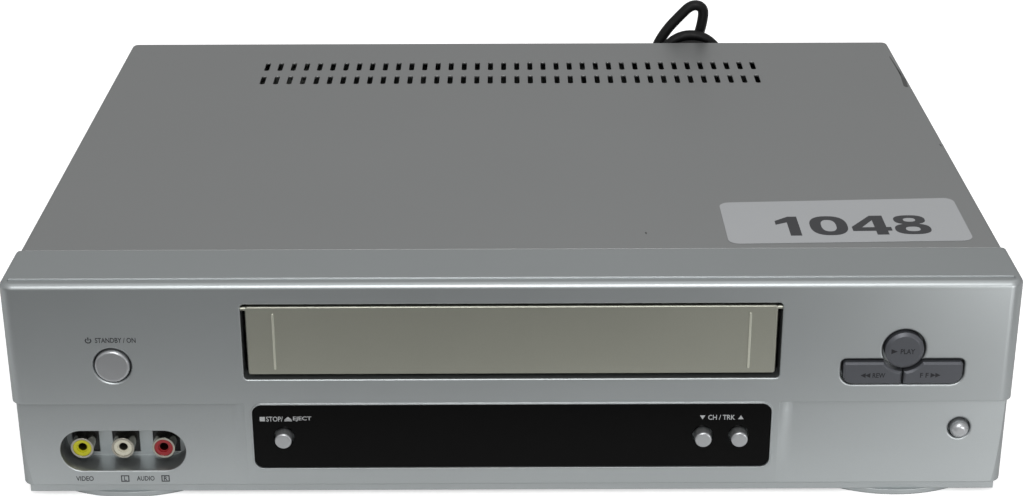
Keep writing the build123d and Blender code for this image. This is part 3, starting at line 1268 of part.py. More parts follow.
# ================================================================ mains cord
def lead_route():
    """From the gland down to the table in one round turn, then under itself to the hank."""
    foot_y = HANK_Y0 + CORD_R
    foot_z = CORD_R + 0.1
    return [
        (CORD_X, GLAND_TIP_Y, CORD_Z),
        (CORD_X, GLAND_TIP_Y + 16.5, CORD_Z),
        (CORD_X + 9.4, GLAND_TIP_Y + 30.6, CORD_Z - 1.5),
        (CORD_X + 25, GLAND_TIP_Y + 37, CORD_Z - 6),
        (CORD_X + 42, GLAND_TIP_Y + 34, foot_z + 10),
        (CORD_X + 54, GLAND_TIP_Y + 21.4, foot_z + 6),
        (CORD_X + 57.6, GLAND_TIP_Y + 4, foot_z + 2.8),
        (CORD_X + 51, GLAND_TIP_Y - 12.6, foot_z + 0.7),
        (CORD_X + 36.6, foot_y + 0.8, foot_z),
        (CORD_X + 18, foot_y - 0.3, foot_z),
        (CORD_X + 1, foot_y, foot_z),
        (HANK_X + HANK_W / 2, foot_y, foot_z),
    ]


def tail_route():
    """From the foot of the hank along the table to the plug."""
    x0 = HANK_X - HANK_W / 2
    y0 = HANK_Y1 - HANK_LOOP_T / 2
    foot_z = CORD_R + 0.1
    return [
        (x0, y0, foot_z),
        (x0 - 15, y0, foot_z),
        (x0 - 34, y0 + 5, foot_z),
        (x0 - 54, y0 + 16, foot_z + 0.3),
        (x0 - 72, y0 + 27, PLUG_T / 2),
        (x0 - 88, y0 + 31, PLUG_T / 2),
    ]


def bend_radii(route):
    """Largest arc that the two runs beside each inner point allow."""
    points = [Vector(*point) for point in route]
    radii = []
    for before, point, after in zip(points, points[1:], points[2:]):
        turn = (point - before).get_angle(after - point)
        shorter = min((point - before).length, (after - point).length)
        radii.append(0.45 * shorter / tan(radians(turn) / 2))
    return radii


def cord_tube(name, route):
    """Round cord along a route of straight runs and tangent arcs."""
    radii = bend_radii(route)
    print(name, "bend radii:", [round(radius, 1) for radius in radii])
    path = FilletPolyline(*route, radius=radii)
    start = Plane(origin=path @ 0, z_dir=path % 0)
    tube = sweep(start * Circle(CORD_R), path=path)
    print(name, "volume / (section x length):", round(tube.volume / (pi * CORD_R**2 * path.length), 4))
    return tube


def cord_gland():
    """Tapered strain relief with its collar in the back panel."""
    profile = Polyline(
        (0, -5), (GLAND_R0, -5), (GLAND_R0, 0), (GLAND_R0 + 1.6, 0), (GLAND_R0 + 1.6, 2), (GLAND_R0, 2),
        (GLAND_R1, GLAND_LEN), (0, GLAND_LEN), close=True,
    )
    gland = revolve(Plane.XZ * make_face(profile), axis=Axis.Z)
    gland = Rot(-90, 0, 0) * gland
    return Pos(CORD_X, PANEL_Y1, CORD_Z) * gland


def cord_hank():
    """Outer form of the folded cord standing behind the case, one fold taller than the rest."""
    half = HANK_W / 2
    waist = HANK_WAIST / 2
    tie_low = TIE_Z - TIE_W / 2
    tie_high = TIE_Z + TIE_W / 2
    end_z = HANK_H - HANK_END * half
    side = [(half, 0.1), (half, half), (waist, tie_low), (waist, tie_high), (half, end_z)]
    turns = Polygon(*side, *[(-x, z) for x, z in reversed(side)], align=None)
    turns += Pos(0, end_z) * Ellipse(half, HANK_END * half)
    hank = from_front(Pos(HANK_X, 0) * turns, HANK_Y0, HANK_Y1)
    top = HANK_LOOP_H
    fold = Polygon(
        (-18, end_z), (-16, top - 16), (-2, top - 1), (5, top), (9.6, top - 5), (8, top - 16), (12, end_z),
        align=None,
    )
    return hank + from_front(Pos(HANK_X, 0) * fillet(fold.vertices(), 1.5), HANK_Y1 - HANK_LOOP_T, HANK_Y1)


def cord_tie():
    """Flat tie round the waist of the hank."""
    y = (HANK_Y0 + HANK_Y1) / 2
    outer = Pos(HANK_X, y) * RectangleRounded(HANK_WAIST + 2 * TIE_T, HANK_T + 2 * TIE_T, 3.0)
    inner = Pos(HANK_X, y) * Rectangle(HANK_WAIST, HANK_T)
    return from_above(outer - inner, TIE_Z - TIE_W / 2, TIE_Z + TIE_W / 2)


def mains_plug():
    """Flat two-pin plug lying on the table, its sleeve towards the hank."""
    end = tail_route()[-1]
    before = tail_route()[-2]
    heading = degrees(atan2(end[1] - before[1], end[0] - before[0]))
    sleeve = Pos(PLUG_SLEEVE_LEN / 2, 0, 0) * Rot(0, 90, 0) * Cone(CORD_R + 1.0, CORD_R + 2.5, PLUG_SLEEVE_LEN)
    x0 = PLUG_SLEEVE_LEN - 1
    body = Polygon(
        (x0, -7), (x0 + 12, -PLUG_W / 2), (x0 + PLUG_LEN, -PLUG_W / 2), (x0 + PLUG_LEN, PLUG_W / 2),
        (x0 + 12, PLUG_W / 2), (x0, 7), align=None,
    )
    body = fillet(body.vertices(), 2.5)
    shell = extrude(Plane.XY.offset(-PLUG_T / 2) * body, amount=PLUG_T)
    shell = fillet(shell.edges().group_by(Axis.Z)[-1], 2.0)
    shell = fillet(shell.edges().group_by(Axis.Z)[0], 2.0)
    plug = shell + sleeve
    for y in (-PLUG_PIN_PITCH / 2, PLUG_PIN_PITCH / 2):
        plug += rod_x(x0 + PLUG_LEN - 1, x0 + PLUG_LEN + PLUG_PIN_LEN, y, 0, PLUG_PIN_R)
    return Pos(end[0], end[1], end[2]) * Rot(0, 0, heading) * plug


# ================================================================ nodes
def nodes():
    """Every node by name."""
    parts = {
        "front_bezel": front_bezel(),
        "cassette_door": cassette_door(),
        "door_spring": door_spring(),
        "display_window": display_window(),
        "display_tube": display_tube(),
        "front_boards": front_boards(),
        "key_switches": key_switches(),
        "standby_button": round_button(STANDBY_X, STANDBY_Z, STANDBY_R, STANDBY_PROUD, STANDBY_EDGE_R),
        "record_button": round_button(RECORD_X, RECORD_Z, RECORD_R, RECORD_PROUD, RECORD_EDGE_R),
        "play_button": play_button(),
        "rewind_button": winding_key(-1),
        "forward_button": winding_key(1),
        "jack_shells": jack_shells(),
        "jack_insulator_yellow": front_insulator(0),
        "jack_insulators_white": Compound(children=[front_insulator(1), rear_insulator(0)]),
        "jack_insulators_red": Compound(children=[front_insulator(2), rear_insulator(1)]),
        "jack_holders": jack_holders(),
        "main_frame": main_frame(),
        "front_feet": front_feet(),
        "rear_feet": rear_feet(),
        "top_cover": top_cover(),
        "cover_screws": cover_screws(),
        "rear_panel": rear_panel(),
        "multi_pin_sockets": multi_pin_sockets(),
        "main_board": boards(),
        "power_board": power_board(),
        "transformer": transformer(),
        "capacitors": capacitors(),
        "heat_sink": heat_sink(),
        "tuner_can": tuner_can(),
        "deck_plate": deck_plate(),
        "supply_reel": reel(-1),
        "takeup_reel": reel(1),
        "lower_drum": lower_drum(),
        "upper_drum": upper_drum(),
        "capstan_flywheel": capstan_flywheel(),
        "clutch_pulley": clutch_pulley(),
        "drive_belt": drive_belt(),
        "idler_arm": idler_arm(),
        "idler_wheel": idler_wheel(),
        "pinch_arm": pinch_arm(),
        "pinch_roller": pinch_roller(),
        "left_tape_guide": tape_guide(-1),
        "right_tape_guide": tape_guide(1),
        "tape_heads": tape_heads(),
        "slide_plates": slide_plates(),
        "cassette_holder": cassette_holder(),
        "cassette_housing": cassette_housing(),
        "drive_shaft": drive_shaft(),
        "loading_motor": loading_motor(),
        "motor_pinion": motor_pinion(),
        "cord_gland": cord_gland(),
        "cord_lead": cord_tube("cord_lead", lead_route()),
        "cord_hank": cord_hank(),
        "cord_tail": cord_tube("cord_tail", tail_route()),
        "cord_tie": cord_tie(),
        "mains_plug": mains_plug(),
    }
    for name, x in small_buttons().items():
        parts[name] = round_button(x, SMALL_Z, SMALL_R, SMALL_PROUD, SMALL_EDGE_R)
    return parts


os.makedirs("parts", exist_ok=True)
for node_name, node_shape in nodes().items():
    export_step(Pos(0, -MIDDLE_Y, 0) * node_shape, f"parts/{node_name}.step")
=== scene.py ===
import math

import bmesh
import bpy
from mathutils import Matrix, Vector


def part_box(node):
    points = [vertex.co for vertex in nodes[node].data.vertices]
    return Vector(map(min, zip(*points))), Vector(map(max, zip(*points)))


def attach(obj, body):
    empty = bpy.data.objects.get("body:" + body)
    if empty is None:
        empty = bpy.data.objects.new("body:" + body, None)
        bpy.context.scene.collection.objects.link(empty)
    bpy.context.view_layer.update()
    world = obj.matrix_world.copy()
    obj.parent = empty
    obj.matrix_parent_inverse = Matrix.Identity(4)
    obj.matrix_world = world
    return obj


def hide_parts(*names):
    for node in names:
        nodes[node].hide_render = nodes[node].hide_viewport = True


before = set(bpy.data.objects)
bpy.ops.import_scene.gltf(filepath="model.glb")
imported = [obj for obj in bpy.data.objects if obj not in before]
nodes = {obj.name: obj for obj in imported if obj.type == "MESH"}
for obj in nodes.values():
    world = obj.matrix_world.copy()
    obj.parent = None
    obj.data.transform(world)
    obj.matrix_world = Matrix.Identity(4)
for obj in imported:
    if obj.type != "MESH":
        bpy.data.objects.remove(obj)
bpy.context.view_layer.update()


# ---------------------------------------------------------------- the view
# The recorder is looked at from in front and above, through a 70 mm lens three quarters of a
# metre away, nearly square to its front.
STANDPOINT = (-0.00086, -0.77331, 0.37901)
yaw, pitch, roll = (math.radians(angle) for angle in (0.097, 23.778, -0.154))
ahead = Vector((math.sin(yaw) * math.cos(pitch), math.cos(yaw) * math.cos(pitch), -math.sin(pitch)))
level = Vector((math.cos(yaw), -math.sin(yaw), 0))
over = level.cross(ahead)
right = level * math.cos(roll) + over * math.sin(roll)
up = over * math.cos(roll) - level * math.sin(roll)
lens = bpy.data.cameras.new("view")
lens.lens = 70.3125
lens.sensor_width = 36
lens.clip_start = 0.01
viewer = bpy.data.objects.new("view", lens)
viewer.matrix_world = Matrix.Translation(STANDPOINT) @ Matrix((right, up, -ahead)).transposed().to_4x4()
bpy.context.scene.collection.objects.link(viewer)
bpy.context.scene.camera = viewer


# ---------------------------------------------------------------- mains cord
# Round two-core lead in black flexible PVC. It leaves a ribbed strain relief in the back panel,
# turns down to the table, is folded into a hank held by a strap, and ends in a flat moulded plug.
FACE_TO_MIDDLE = 139.3     # the front face is this far in front of the origin, in mm
CORD_D = 5.0
BACK_Y = 271.6             # rear face of the back panel
GLAND_LENGTH = 28
LEAD = [
    (121, BACK_Y + GLAND_LENGTH, 24), (121, 316.1, 24), (130.4, 330.2, 22.5), (146, 336.6, 18),
    (163, 333.6, 12.6), (175, 321, 8.6), (178.6, 303.6, 5.4), (172, 287, 3.3), (157.6, 277.3, 2.6),
    (139, 276.2, 2.6), (122, 276.5, 2.6), (106.5, 276.5, 2.6),
]
TAIL = [
    (66.5, 287.2, 2.6), (51.5, 287.2, 2.6), (32.5, 292.2, 2.6), (12.5, 303.2, 2.9), (-5.5, 314.2, 6.85),
    (-21.5, 318.2, 6.85),
]
HANK_X = 86.5              # middle of the hank
FRONT_LAYER, MIDDLE_LAYER, REAR_LAYER = 276.6, 282.1, 287.2
OUTER, MIDDLE, INNER = 17.4, 12.3, 7.2    # half width of a layer's turns
STRAP_LOW_Z, STRAP_HIGH_Z = 37.0, 51.0
DRAWN_IN = 4.5             # how far the strap draws each side in
OCTAGON = 0.414            # half a side of an octagon, as a share of its inner radius


def at(x, y, z):
    """Point given in mm, with y measured back from the front face."""
    return Vector((x, y - FACE_TO_MIDDLE, z)) / 1000


def fold(x0, x1, y0, y1, end_z, height):
    """Control points of a half turn between two upright runs, its end at end_z.

    They are corners of half an octagon, stretched by height, which is negative at the foot."""
    half = (x1 - x0) / 2
    middle = HANK_X + (x0 + x1) / 2
    side_z = end_z - (1 - OCTAGON) * height * abs(half)
    steps = ((x0 + HANK_X, side_z), (middle - OCTAGON * half, end_z), (middle + OCTAGON * half, end_z),
             (x1 + HANK_X, side_z))
    return [(x, y0 + (y1 - y0) * step / 3, z) for step, (x, z) in enumerate(steps)]


def past_strap(x, y, rising):
    """Two points of an upright run where the strap holds it."""
    held_x = HANK_X + x - math.copysign(DRAWN_IN, x)
    run = [(held_x, y, STRAP_LOW_Z), (held_x, y, STRAP_HIGH_Z)]
    return run if rising else run[::-1]


def whole_turn(half, y, top_z, next_x, next_y, foot_z):
    """Up the left side, over, down the right side and under to the next run."""
    points = past_strap(-half, y, True)
    points += fold(-half, half, y, y, top_z, 1.3)
    points += past_strap(half, y, False)
    return points + fold(half, next_x, y, next_y, foot_z, -1.0)


route = LEAD + [(HANK_X - 7.2, FRONT_LAYER, 2.6), (HANK_X - OUTER, FRONT_LAYER, 12.8)]
route += whole_turn(OUTER, FRONT_LAYER, 83.0, -MIDDLE, FRONT_LAYER, 7.8)
route += whole_turn(MIDDLE, FRONT_LAYER, 77.6, -INNER, FRONT_LAYER, 13.0)
route += whole_turn(INNER, FRONT_LAYER, 72.2, -INNER, MIDDLE_LAYER, 23.4)
route += whole_turn(INNER, MIDDLE_LAYER, 75.7, -MIDDLE, MIDDLE_LAYER, 18.2)
route += whole_turn(MIDDLE, MIDDLE_LAYER, 81.1, -OUTER, MIDDLE_LAYER, 13.0)
route += whole_turn(OUTER, MIDDLE_LAYER, 86.3, -OUTER, REAR_LAYER, 7.8)
# The last turn stands taller than the rest and leans over at its top.
route += past_strap(-OUTER, REAR_LAYER, True)
route += [(x, REAR_LAYER, z) for x, z in (
    (69.2, 66), (69.8, 78), (75, 87.2), (81, 94), (87, 100.2), (92.8, 98.6), (92.2, 90.5), (89.6, 81),
    (93, 64), (97.5, STRAP_HIGH_Z), (98, STRAP_LOW_Z), (HANK_X + OUTER, 13), (HANK_X + 7.2, 2.6),
)]
route += TAIL


def linear(code):
    """sRGB hex colour as the linear colour that a shader takes."""
    parts = [int(code[start:start + 2], 16) / 255 for start in (0, 2, 4)]
    return [part / 12.92 if part <= 0.04045 else ((part + 0.055) / 1.055) ** 2.4 for part in parts] + [1.0]


def add(material, kind, inputs=None, **settings):
    """Adds a shader node with its settings, and sets or links its inputs."""
    node = material.node_tree.nodes.new("ShaderNode" + kind)
    for name, value in settings.items():
        setattr(node, name, value)
    for name, value in (inputs or {}).items():
        if isinstance(value, bpy.types.NodeSocket):
            material.node_tree.links.new(value, node.inputs[name])
        else:
            node.inputs[name].default_value = value
    return node


def surface(name, colour, roughness, metallic=0.0, ior=1.5, grain_mm=0.6, relief_mm=0.01, cloud_mm=35,
            cloud=0.05, edge_mm=0.0, coat=0.0, flop=0.0, stretch=(1, 1, 1)):
    """Material with fine grain, soft clouds in its colour and gloss, and slightly rounded edges.

    Towards a grazing view its colour darkens by the share flop, as a metallic paint's does."""
    material = bpy.data.materials.new(name)
    material.use_nodes = True
    place = add(material, "TexCoord").outputs["Object"]
    along = add(material, "Mapping", {"Vector": place, "Scale": stretch}).outputs[0]
    grain = add(material, "TexNoise", {"Vector": along, "Scale": 1000 / grain_mm, "Detail": 2.0}).outputs[0]
    soft = add(material, "TexNoise", {"Vector": place, "Scale": 1000 / cloud_mm, "Detail": 5.0}).outputs[0]
    # The two noises add up to about 1, give or take 0.4.
    both = add(material, "Math", {0: grain, 1: soft}, operation="ADD").outputs[0]
    tone = add(material, "MapRange", {"Value": both, "From Min": 0.6, "From Max": 1.4, "To Min": 1 - cloud,
                                      "To Max": 1 + cloud}).outputs[0]
    facing = add(material, "LayerWeight").outputs["Facing"]
    dimmed = add(material, "MapRange", {"Value": facing, "To Min": 1.0, "To Max": 1 - flop}).outputs[0]
    value = add(material, "Math", {0: tone, 1: dimmed}, operation="MULTIPLY").outputs[0]
    tinted = add(material, "HueSaturation", {"Color": linear(colour), "Value": value}).outputs[0]
    gloss = add(material, "MapRange", {"Value": both, "From Min": 0.6, "From Max": 1.4,
                                       "To Min": roughness * (1 - 1.5 * cloud),
                                       "To Max": roughness * (1 + 1.5 * cloud)}).outputs[0]
    bump = {"Height": grain, "Distance": relief_mm / 1000, "Strength": 1.0}
    if edge_mm:
        bump["Normal"] = add(material, "Bevel", {"Radius": edge_mm / 1000}, samples=6).outputs[0]
    normal = add(material, "Bump", bump).outputs[0]
    shader = material.node_tree.nodes["Principled BSDF"]
    for socket, source in (("Base Color", tinted), ("Roughness", gloss), ("Normal", normal)):
        material.node_tree.links.new(source, shader.inputs[socket])
    for socket, value in (("Metallic", metallic), ("IOR", ior), ("Coat Weight", coat),
                          ("Coat Roughness", 0.15)):
        shader.inputs[socket].default_value = value
    return material


def dress(material, *names):
    """Gives CAD nodes a material."""
    for name in names:
        slots = nodes[name].data.materials
        slots.clear()
        slots.append(material)


def piece(name, mesh, material, body):
    """New object from a mesh, with its material, riding on a body."""
    made = bpy.data.objects.new(name, mesh)
    mesh.materials.clear()
    mesh.materials.append(material)
    bpy.context.scene.collection.objects.link(made)
    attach(made, body)
    return made


def turned(name, profile, origin, axis, steps=48):
    """Mesh of a profile of (radius, distance along the axis) in mm, turned round the axis."""
    bm = bmesh.new()
    rings = []
    for radius, height in profile:
        ring = []
        for step in range(steps):
            angle = 2 * math.pi * step / steps
            corner = (radius * math.cos(angle), radius * math.sin(angle), height)
            ring.append(bm.verts.new([size / 1000 for size in corner]))
        rings.append(ring)
    for low, high in zip(rings, rings[1:]):
        for step in range(steps):
            after = (step + 1) % steps
            bm.faces.new((low[step], low[after], high[after], high[step]))
    if profile[0] != profile[-1]:
        bm.faces.new(rings[0][::-1])
        bm.faces.new(rings[-1])
    turn = Vector((0, 0, 1)).rotation_difference(Vector(axis)).to_matrix().to_4x4()
    bmesh.ops.transform(bm, matrix=Matrix.Translation(origin) @ turn, verts=bm.verts)
    if profile[0] == profile[-1]:
        bmesh.ops.remove_doubles(bm, verts=bm.verts, dist=1e-7)
    bmesh.ops.recalc_face_normals(bm, faces=bm.faces)
    for face in bm.faces:
        face.smooth = True
    mesh = bpy.data.meshes.new(name)
    bm.to_mesh(mesh)
    bm.free()
    mesh.set_sharp_from_angle(angle=math.radians(40))
    return mesh


# Extruded PVC: soft sheen, with faint scuffs.
cord_pvc = surface("extruded_black_pvc", "0b0b0c", 0.5, ior=1.35, grain_mm=1.2, relief_mm=0.02, cloud=0.25)
cord_line = bpy.data.curves.new("mains_cord", "CURVE")
cord_line.dimensions = "3D"
cord_line.bevel_depth = CORD_D / 2000
cord_line.bevel_resolution = 5
cord_line.resolution_u = 8
cord_line.use_fill_caps = True
spline = cord_line.splines.new("NURBS")
spline.points.add(len(route) - 1)
for point, place in zip(spline.points, route):
    point.co = (*at(*place), 1)
spline.order_u = 3
spline.use_endpoint_u = True
cord = bpy.data.objects.new("mains_cord", cord_line)
cord_line.materials.append(cord_pvc)
bpy.context.scene.collection.objects.link(cord)
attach(cord, "case")
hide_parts("cord_lead", "cord_hank", "cord_tail")

# The strain relief: a collar and a taper cut into soft rings.
NECK_R = 5.2
NARROWS = 1.5              # how much smaller the radius is at the tip
GROOVE = 0.9
gland_profile = [(0.5, -4.5), (NECK_R, -4.5), (NECK_R, 0.0), (6.3, 0.05), (6.8, 0.5), (6.8, 1.6), (6.3, 2.0)]
for ring in range(9):
    start = 2.4 + ring * 2.75
    wide = NECK_R - NARROWS * (start + 1) / GLAND_LENGTH
    gland_profile += [(wide - GROOVE, start), (wide - 0.15, start + 0.5), (wide, start + 0.9),
                      (wide, start + 1.7), (wide - 0.15, start + 2.0), (wide - GROOVE, start + 2.3)]
gland_profile += [(3.6, 27.4), (3.5, 27.9), (3.0, GLAND_LENGTH)]
gland_mesh = turned("strain_relief", gland_profile, at(121, BACK_Y, 24), (0, 1, 0))
gland = piece("strain_relief", gland_mesh, cord_pvc, "case")
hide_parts("cord_gland")
dress(cord_pvc, "cord_tie", "mains_plug")

# Plated brass tips of the two plug pins, standing out of their black sleeves.
pin_brass = surface("nickelled_brass", "b9b2a2", 0.25, metallic=1.0, grain_mm=0.8, relief_mm=0.004,
                    cloud=0.06)
TIP_PROFILE = [(0.2, 0), (2.04, 0), (2.04, 8.6), (1.9, 9.4), (1.2, 10.02), (0.2, 10.05)]
PINS_APART = 0.0186
SLEEVES_END = 0.062        # the pins' sleeves end this far from where the lead enters the plug
cord_end = at(*TAIL[-1])
plug_axis = (cord_end - at(*TAIL[-2])).normalized()
across_plug = Vector((-plug_axis.y, plug_axis.x, 0))
for name, side in (("plug_pin_left", -0.5), ("plug_pin_right", 0.5)):
    foot = cord_end + plug_axis * SLEEVES_END + across_plug * side * PINS_APART
    piece(name, turned("pin_tip", TIP_PROFILE, foot, plug_axis), pin_brass, "case")


# ---------------------------------------------------------------- floor frame and feet
# Black moulded floor of flame-retardant polystyrene that every unit is screwed to. The two front
# feet are painted like the bezel; the rear ones are rubber discs.
moulded_black = surface("moulded_black_polystyrene", "1d1e1f", 0.5, grain_mm=0.5, relief_mm=0.03, cloud=0.12)
dress(moulded_black, "main_frame")
foot_rubber = surface("black_foot_rubber", "191919", 0.75, grain_mm=0.9, relief_mm=0.05, cloud=0.2)
dress(foot_rubber, "rear_feet")


# ---------------------------------------------------------------- electronics
# Phenolic main and power boards with green solder mask, a laminated transformer, sleeved
# capacitors, an extruded heat sink and the tinned tuner can with its two aerial sockets.
solder_mask = surface("green_solder_mask", "2d5a34", 0.35, grain_mm=1.5, relief_mm=0.02, cloud=0.12, coat=0.3)
place = add(solder_mask, "TexCoord").outputs["Object"]
# Copper tracks show as paler bands under the lacquer.
tracks = add(solder_mask, "TexBrick", {
    "Vector": place, "Scale": 100.0, "Color1": linear("2d5a34"), "Color2": linear("37693c"),
    "Mortar": linear("5d8a4c"), "Mortar Size": 0.06, "Brick Width": 1.3, "Row Height": 0.25,
}).outputs[0]
solder_mask.node_tree.links.new(tracks, solder_mask.node_tree.nodes["Principled BSDF"].inputs["Base Color"])
dress(solder_mask, "main_board", "power_board", "front_boards")
core_steel = surface("varnished_core_laminations", "4b4640", 0.45, metallic=0.6, grain_mm=0.5, relief_mm=0.06,
                     stretch=(0.05, 1, 0.05), cloud=0.15)
dress(core_steel, "transformer")
sleeve_film = surface("navy_capacitor_sleeve", "1a2440", 0.3, grain_mm=1.5, relief_mm=0.02, coat=0.4)
dress(sleeve_film, "capacitors")
fin_aluminium = surface("mill_finish_aluminium", "b4b7b9", 0.38, metallic=1.0, grain_mm=0.4, relief_mm=0.02,
                        stretch=(1, 1, 0.04))
dress(fin_aluminium, "heat_sink")
tinned_steel = surface("tinned_steel", "b9bab6", 0.3, metallic=1.0, grain_mm=2.0, relief_mm=0.01, cloud_mm=12,
                       cloud=0.12, edge_mm=0.2)
dress(tinned_steel, "tuner_can")
socket_black = surface("glass_filled_black_nylon", "141415", 0.42, grain_mm=0.5, relief_mm=0.02, cloud=0.15,
                       edge_mm=0.15)
dress(socket_black, "multi_pin_sockets", "jack_holders", "key_switches")


# ---------------------------------------------------------------- tape deck
# Zinc-plated pressed deck with its reels, the machined aluminium head drum, the capstan and its
# flywheel, belt, idler and pinch roller, and the two guides that draw the tape round the drum.
zinc_plate = surface("clear_zinc_plated_steel", "a9aca9", 0.36, metallic=1.0, grain_mm=0.6, relief_mm=0.012,
                     cloud_mm=18, cloud=0.14, edge_mm=0.15)
dress(zinc_plate, "deck_plate", "cassette_housing", "cassette_holder", "loading_motor")
reel_acetal = surface("black_reel_acetal", "202224", 0.4, grain_mm=1.0, relief_mm=0.02, cloud=0.1)
dress(reel_acetal, "supply_reel", "takeup_reel", "clutch_pulley", "idler_arm")
drum_aluminium = surface("turned_drum_aluminium", "c3c6c8", 0.2, metallic=1.0, grain_mm=0.25, relief_mm=0.006,
                         stretch=(0.03, 0.03, 1), cloud=0.05)
dress(drum_aluminium, "lower_drum", "upper_drum", "tape_heads")
wheel_brass = surface("nickelled_flywheel_brass", "b3ab97", 0.28, metallic=1.0, grain_mm=0.4, relief_mm=0.008,
                      cloud=0.1)
dress(wheel_brass, "capstan_flywheel", "left_tape_guide", "right_tape_guide", "pinch_arm")
belt_rubber = surface("ground_drive_rubber", "171716", 0.65, grain_mm=0.4, relief_mm=0.03, cloud=0.15)
dress(belt_rubber, "drive_belt", "idler_wheel", "pinch_roller")


# ---------------------------------------------------------------- cassette loading
# Steel carrier that takes the cassette in and down, moved by two acetal racks that a cross shaft
# and the loading motor drive.
natural_acetal = surface("natural_white_acetal", "d8d5ca", 0.38, grain_mm=1.2, relief_mm=0.02, cloud=0.06)
dress(natural_acetal, "slide_plates", "drive_shaft", "motor_pinion")


# ---------------------------------------------------------------- bezel
# Moulded ABS front, sprayed with fine metallic silver. The flakes give it a soft bright sheen that
# lifts towards the light, and every opening has a slightly rounded, brighter edge.
silver_paint = surface("metallic_silver_paint", "bbc0c1", 0.42, metallic=0.9, flop=0.5, grain_mm=0.35,
                       relief_mm=0.006, cloud_mm=90, cloud=0.035, edge_mm=0.45)
dress(silver_paint, "front_bezel", "front_feet")

# Screen-printed marks: a dark grey film of ink, each mark fitted to the place it fills.
dark_ink = surface("dark_grey_screen_ink", "2f3134", 0.55, grain_mm=0.15, relief_mm=0.004, cloud=0.15)
INK_T = 0.02
CLEAR = 0.01               # a mark's back stands this far off its surface, in mm


def mark_mesh(shape, weight):
    """Mesh of a word, or of closed outlines, as thick as the ink."""
    line = bpy.data.curves.new("mark", "FONT" if isinstance(shape, str) else "CURVE")
    if isinstance(shape, str):
        line.body = shape
    else:
        line.dimensions = "2D"
        for outline in shape:
            spline = line.splines.new("POLY")
            spline.points.add(len(outline) - 1)
            for point, corner in zip(spline.points, outline):
                point.co = (*corner, 0, 1)
            spline.use_cyclic_u = True
    line.fill_mode = "BOTH"
    line.resolution_u = 3
    line.offset = weight
    line.extrude = 0.01     # any depth; printed() scales it
    holder = bpy.data.objects.new("mark", line)
    mesh = bpy.data.meshes.new_from_object(holder)
    bpy.data.objects.remove(holder)
    return mesh


def printed(name, marks, on_surface, material, body, weight=0.0, thickness=INK_T):
    """Marks, each (shape, x0, x1, v0, v1) in mm, laid on a surface.

    on_surface(x, v, lift) is the point lift above the surface's own x and v."""
    whole = bmesh.new()
    for shape, x0, x1, v0, v1 in marks:
        mesh = mark_mesh(shape, weight)
        corners = [vertex.co for vertex in mesh.vertices]
        low = [min(corner[axis] for corner in corners) for axis in range(3)]
        high = [max(corner[axis] for corner in corners) for axis in range(3)]
        for vertex in mesh.vertices:
            x, v, lift = ((vertex.co[axis] - low[axis]) / (high[axis] - low[axis]) for axis in range(3))
            vertex.co = on_surface(x0 + x * (x1 - x0), v0 + v * (v1 - v0), lift * thickness)
        whole.from_mesh(mesh)
    bmesh.ops.remove_doubles(whole, verts=whole.verts, dist=1e-8)
    bmesh.ops.recalc_face_normals(whole, faces=whole.faces)
    made = bpy.data.meshes.new(name)
    whole.to_mesh(made)
    whole.free()
    return piece(name, made, material, body)


def upper_face(x, z, lift):
    """The upright band of the bezel above its crease."""
    return at(x, -CLEAR - lift, z)


LEAN = 0.0586
LIP_Z, LIP_Y = 5.7, 0.05


def lower_face(x, z, lift):
    """The lower band, which leans back from the lip up to the crease."""
    return at(x, LIP_Y + (z - LIP_Z) * LEAN - CLEAR - lift, z)


open_ring = [(math.cos(math.radians(angle)), math.sin(math.radians(angle))) for angle in range(125, 420, 15)]
POWER = [
    [(0.5 + 0.5 * x, 0.45 + 0.45 * z) for x, z in open_ring]
    + [(0.5 + 0.34 * x, 0.45 + 0.3 * z) for x, z in reversed(open_ring)],
    [(0.42, 0.5), (0.58, 0.5), (0.58, 1), (0.42, 1)],
]
SQUARE = [(0, 0), (1, 0), (1, 1), (0, 1)]
BOX = [SQUARE, [(0.1, 0.12), (0.9, 0.12), (0.9, 0.88), (0.1, 0.88)]]
printed("standby_label", [
    (POWER, -150.9, -148.5, 63.3, 65.7), ("STANDBY / ON", -147.3, -132.9, 63.5, 65.5),
], upper_face, dark_ink, "case", weight=0.018)
printed("socket_labels", [
    ("VIDEO", -159.0, -152.6, 7.3, 9.2), (BOX, -142.6, -139.6, 6.9, 9.5), ("L", -141.5, -140.6, 7.4, 9.0),
    ("AUDIO", -136.9, -130.4, 7.3, 9.2), (BOX, -127.9, -124.9, 6.9, 9.5), ("R", -127.0, -125.7, 7.4, 9.0),
], lower_face, dark_ink, "case", weight=0.018)


# ---------------------------------------------------------------- cassette door
# Sprung flap in a warmer champagne-silver paint, with a fine raised rib near each end. A stainless
# torsion spring on its hinge line closes it.
champagne_paint = surface("champagne_silver_paint", "bcbdb0", 0.4, metallic=0.9, flop=0.5, grain_mm=0.35,
                          relief_mm=0.006, cloud_mm=80, cloud=0.04, edge_mm=0.35)
dress(champagne_paint, "cassette_door")


def toned(material, place, low, high, low_value, high_value):
    """Changes a material's brightness between two values of a place."""
    tree = material.node_tree
    colour = next(node for node in tree.nodes if node.type == "HUE_SAT")
    change = add(material, "MapRange", {"Value": place, "From Min": low, "From Max": high,
                                        "To Min": low_value, "To Max": high_value}).outputs[0]
    before = colour.inputs["Value"].links[0].from_socket
    after = add(material, "Math", {0: before, 1: change}, operation="MULTIPLY").outputs[0]
    tree.links.new(after, colour.inputs["Value"])


def along_y(material):
    """Distance along Y in metres, for a shader."""
    return add(material, "SeparateXYZ", {0: add(material, "TexCoord").outputs["Object"]}).outputs["Y"]
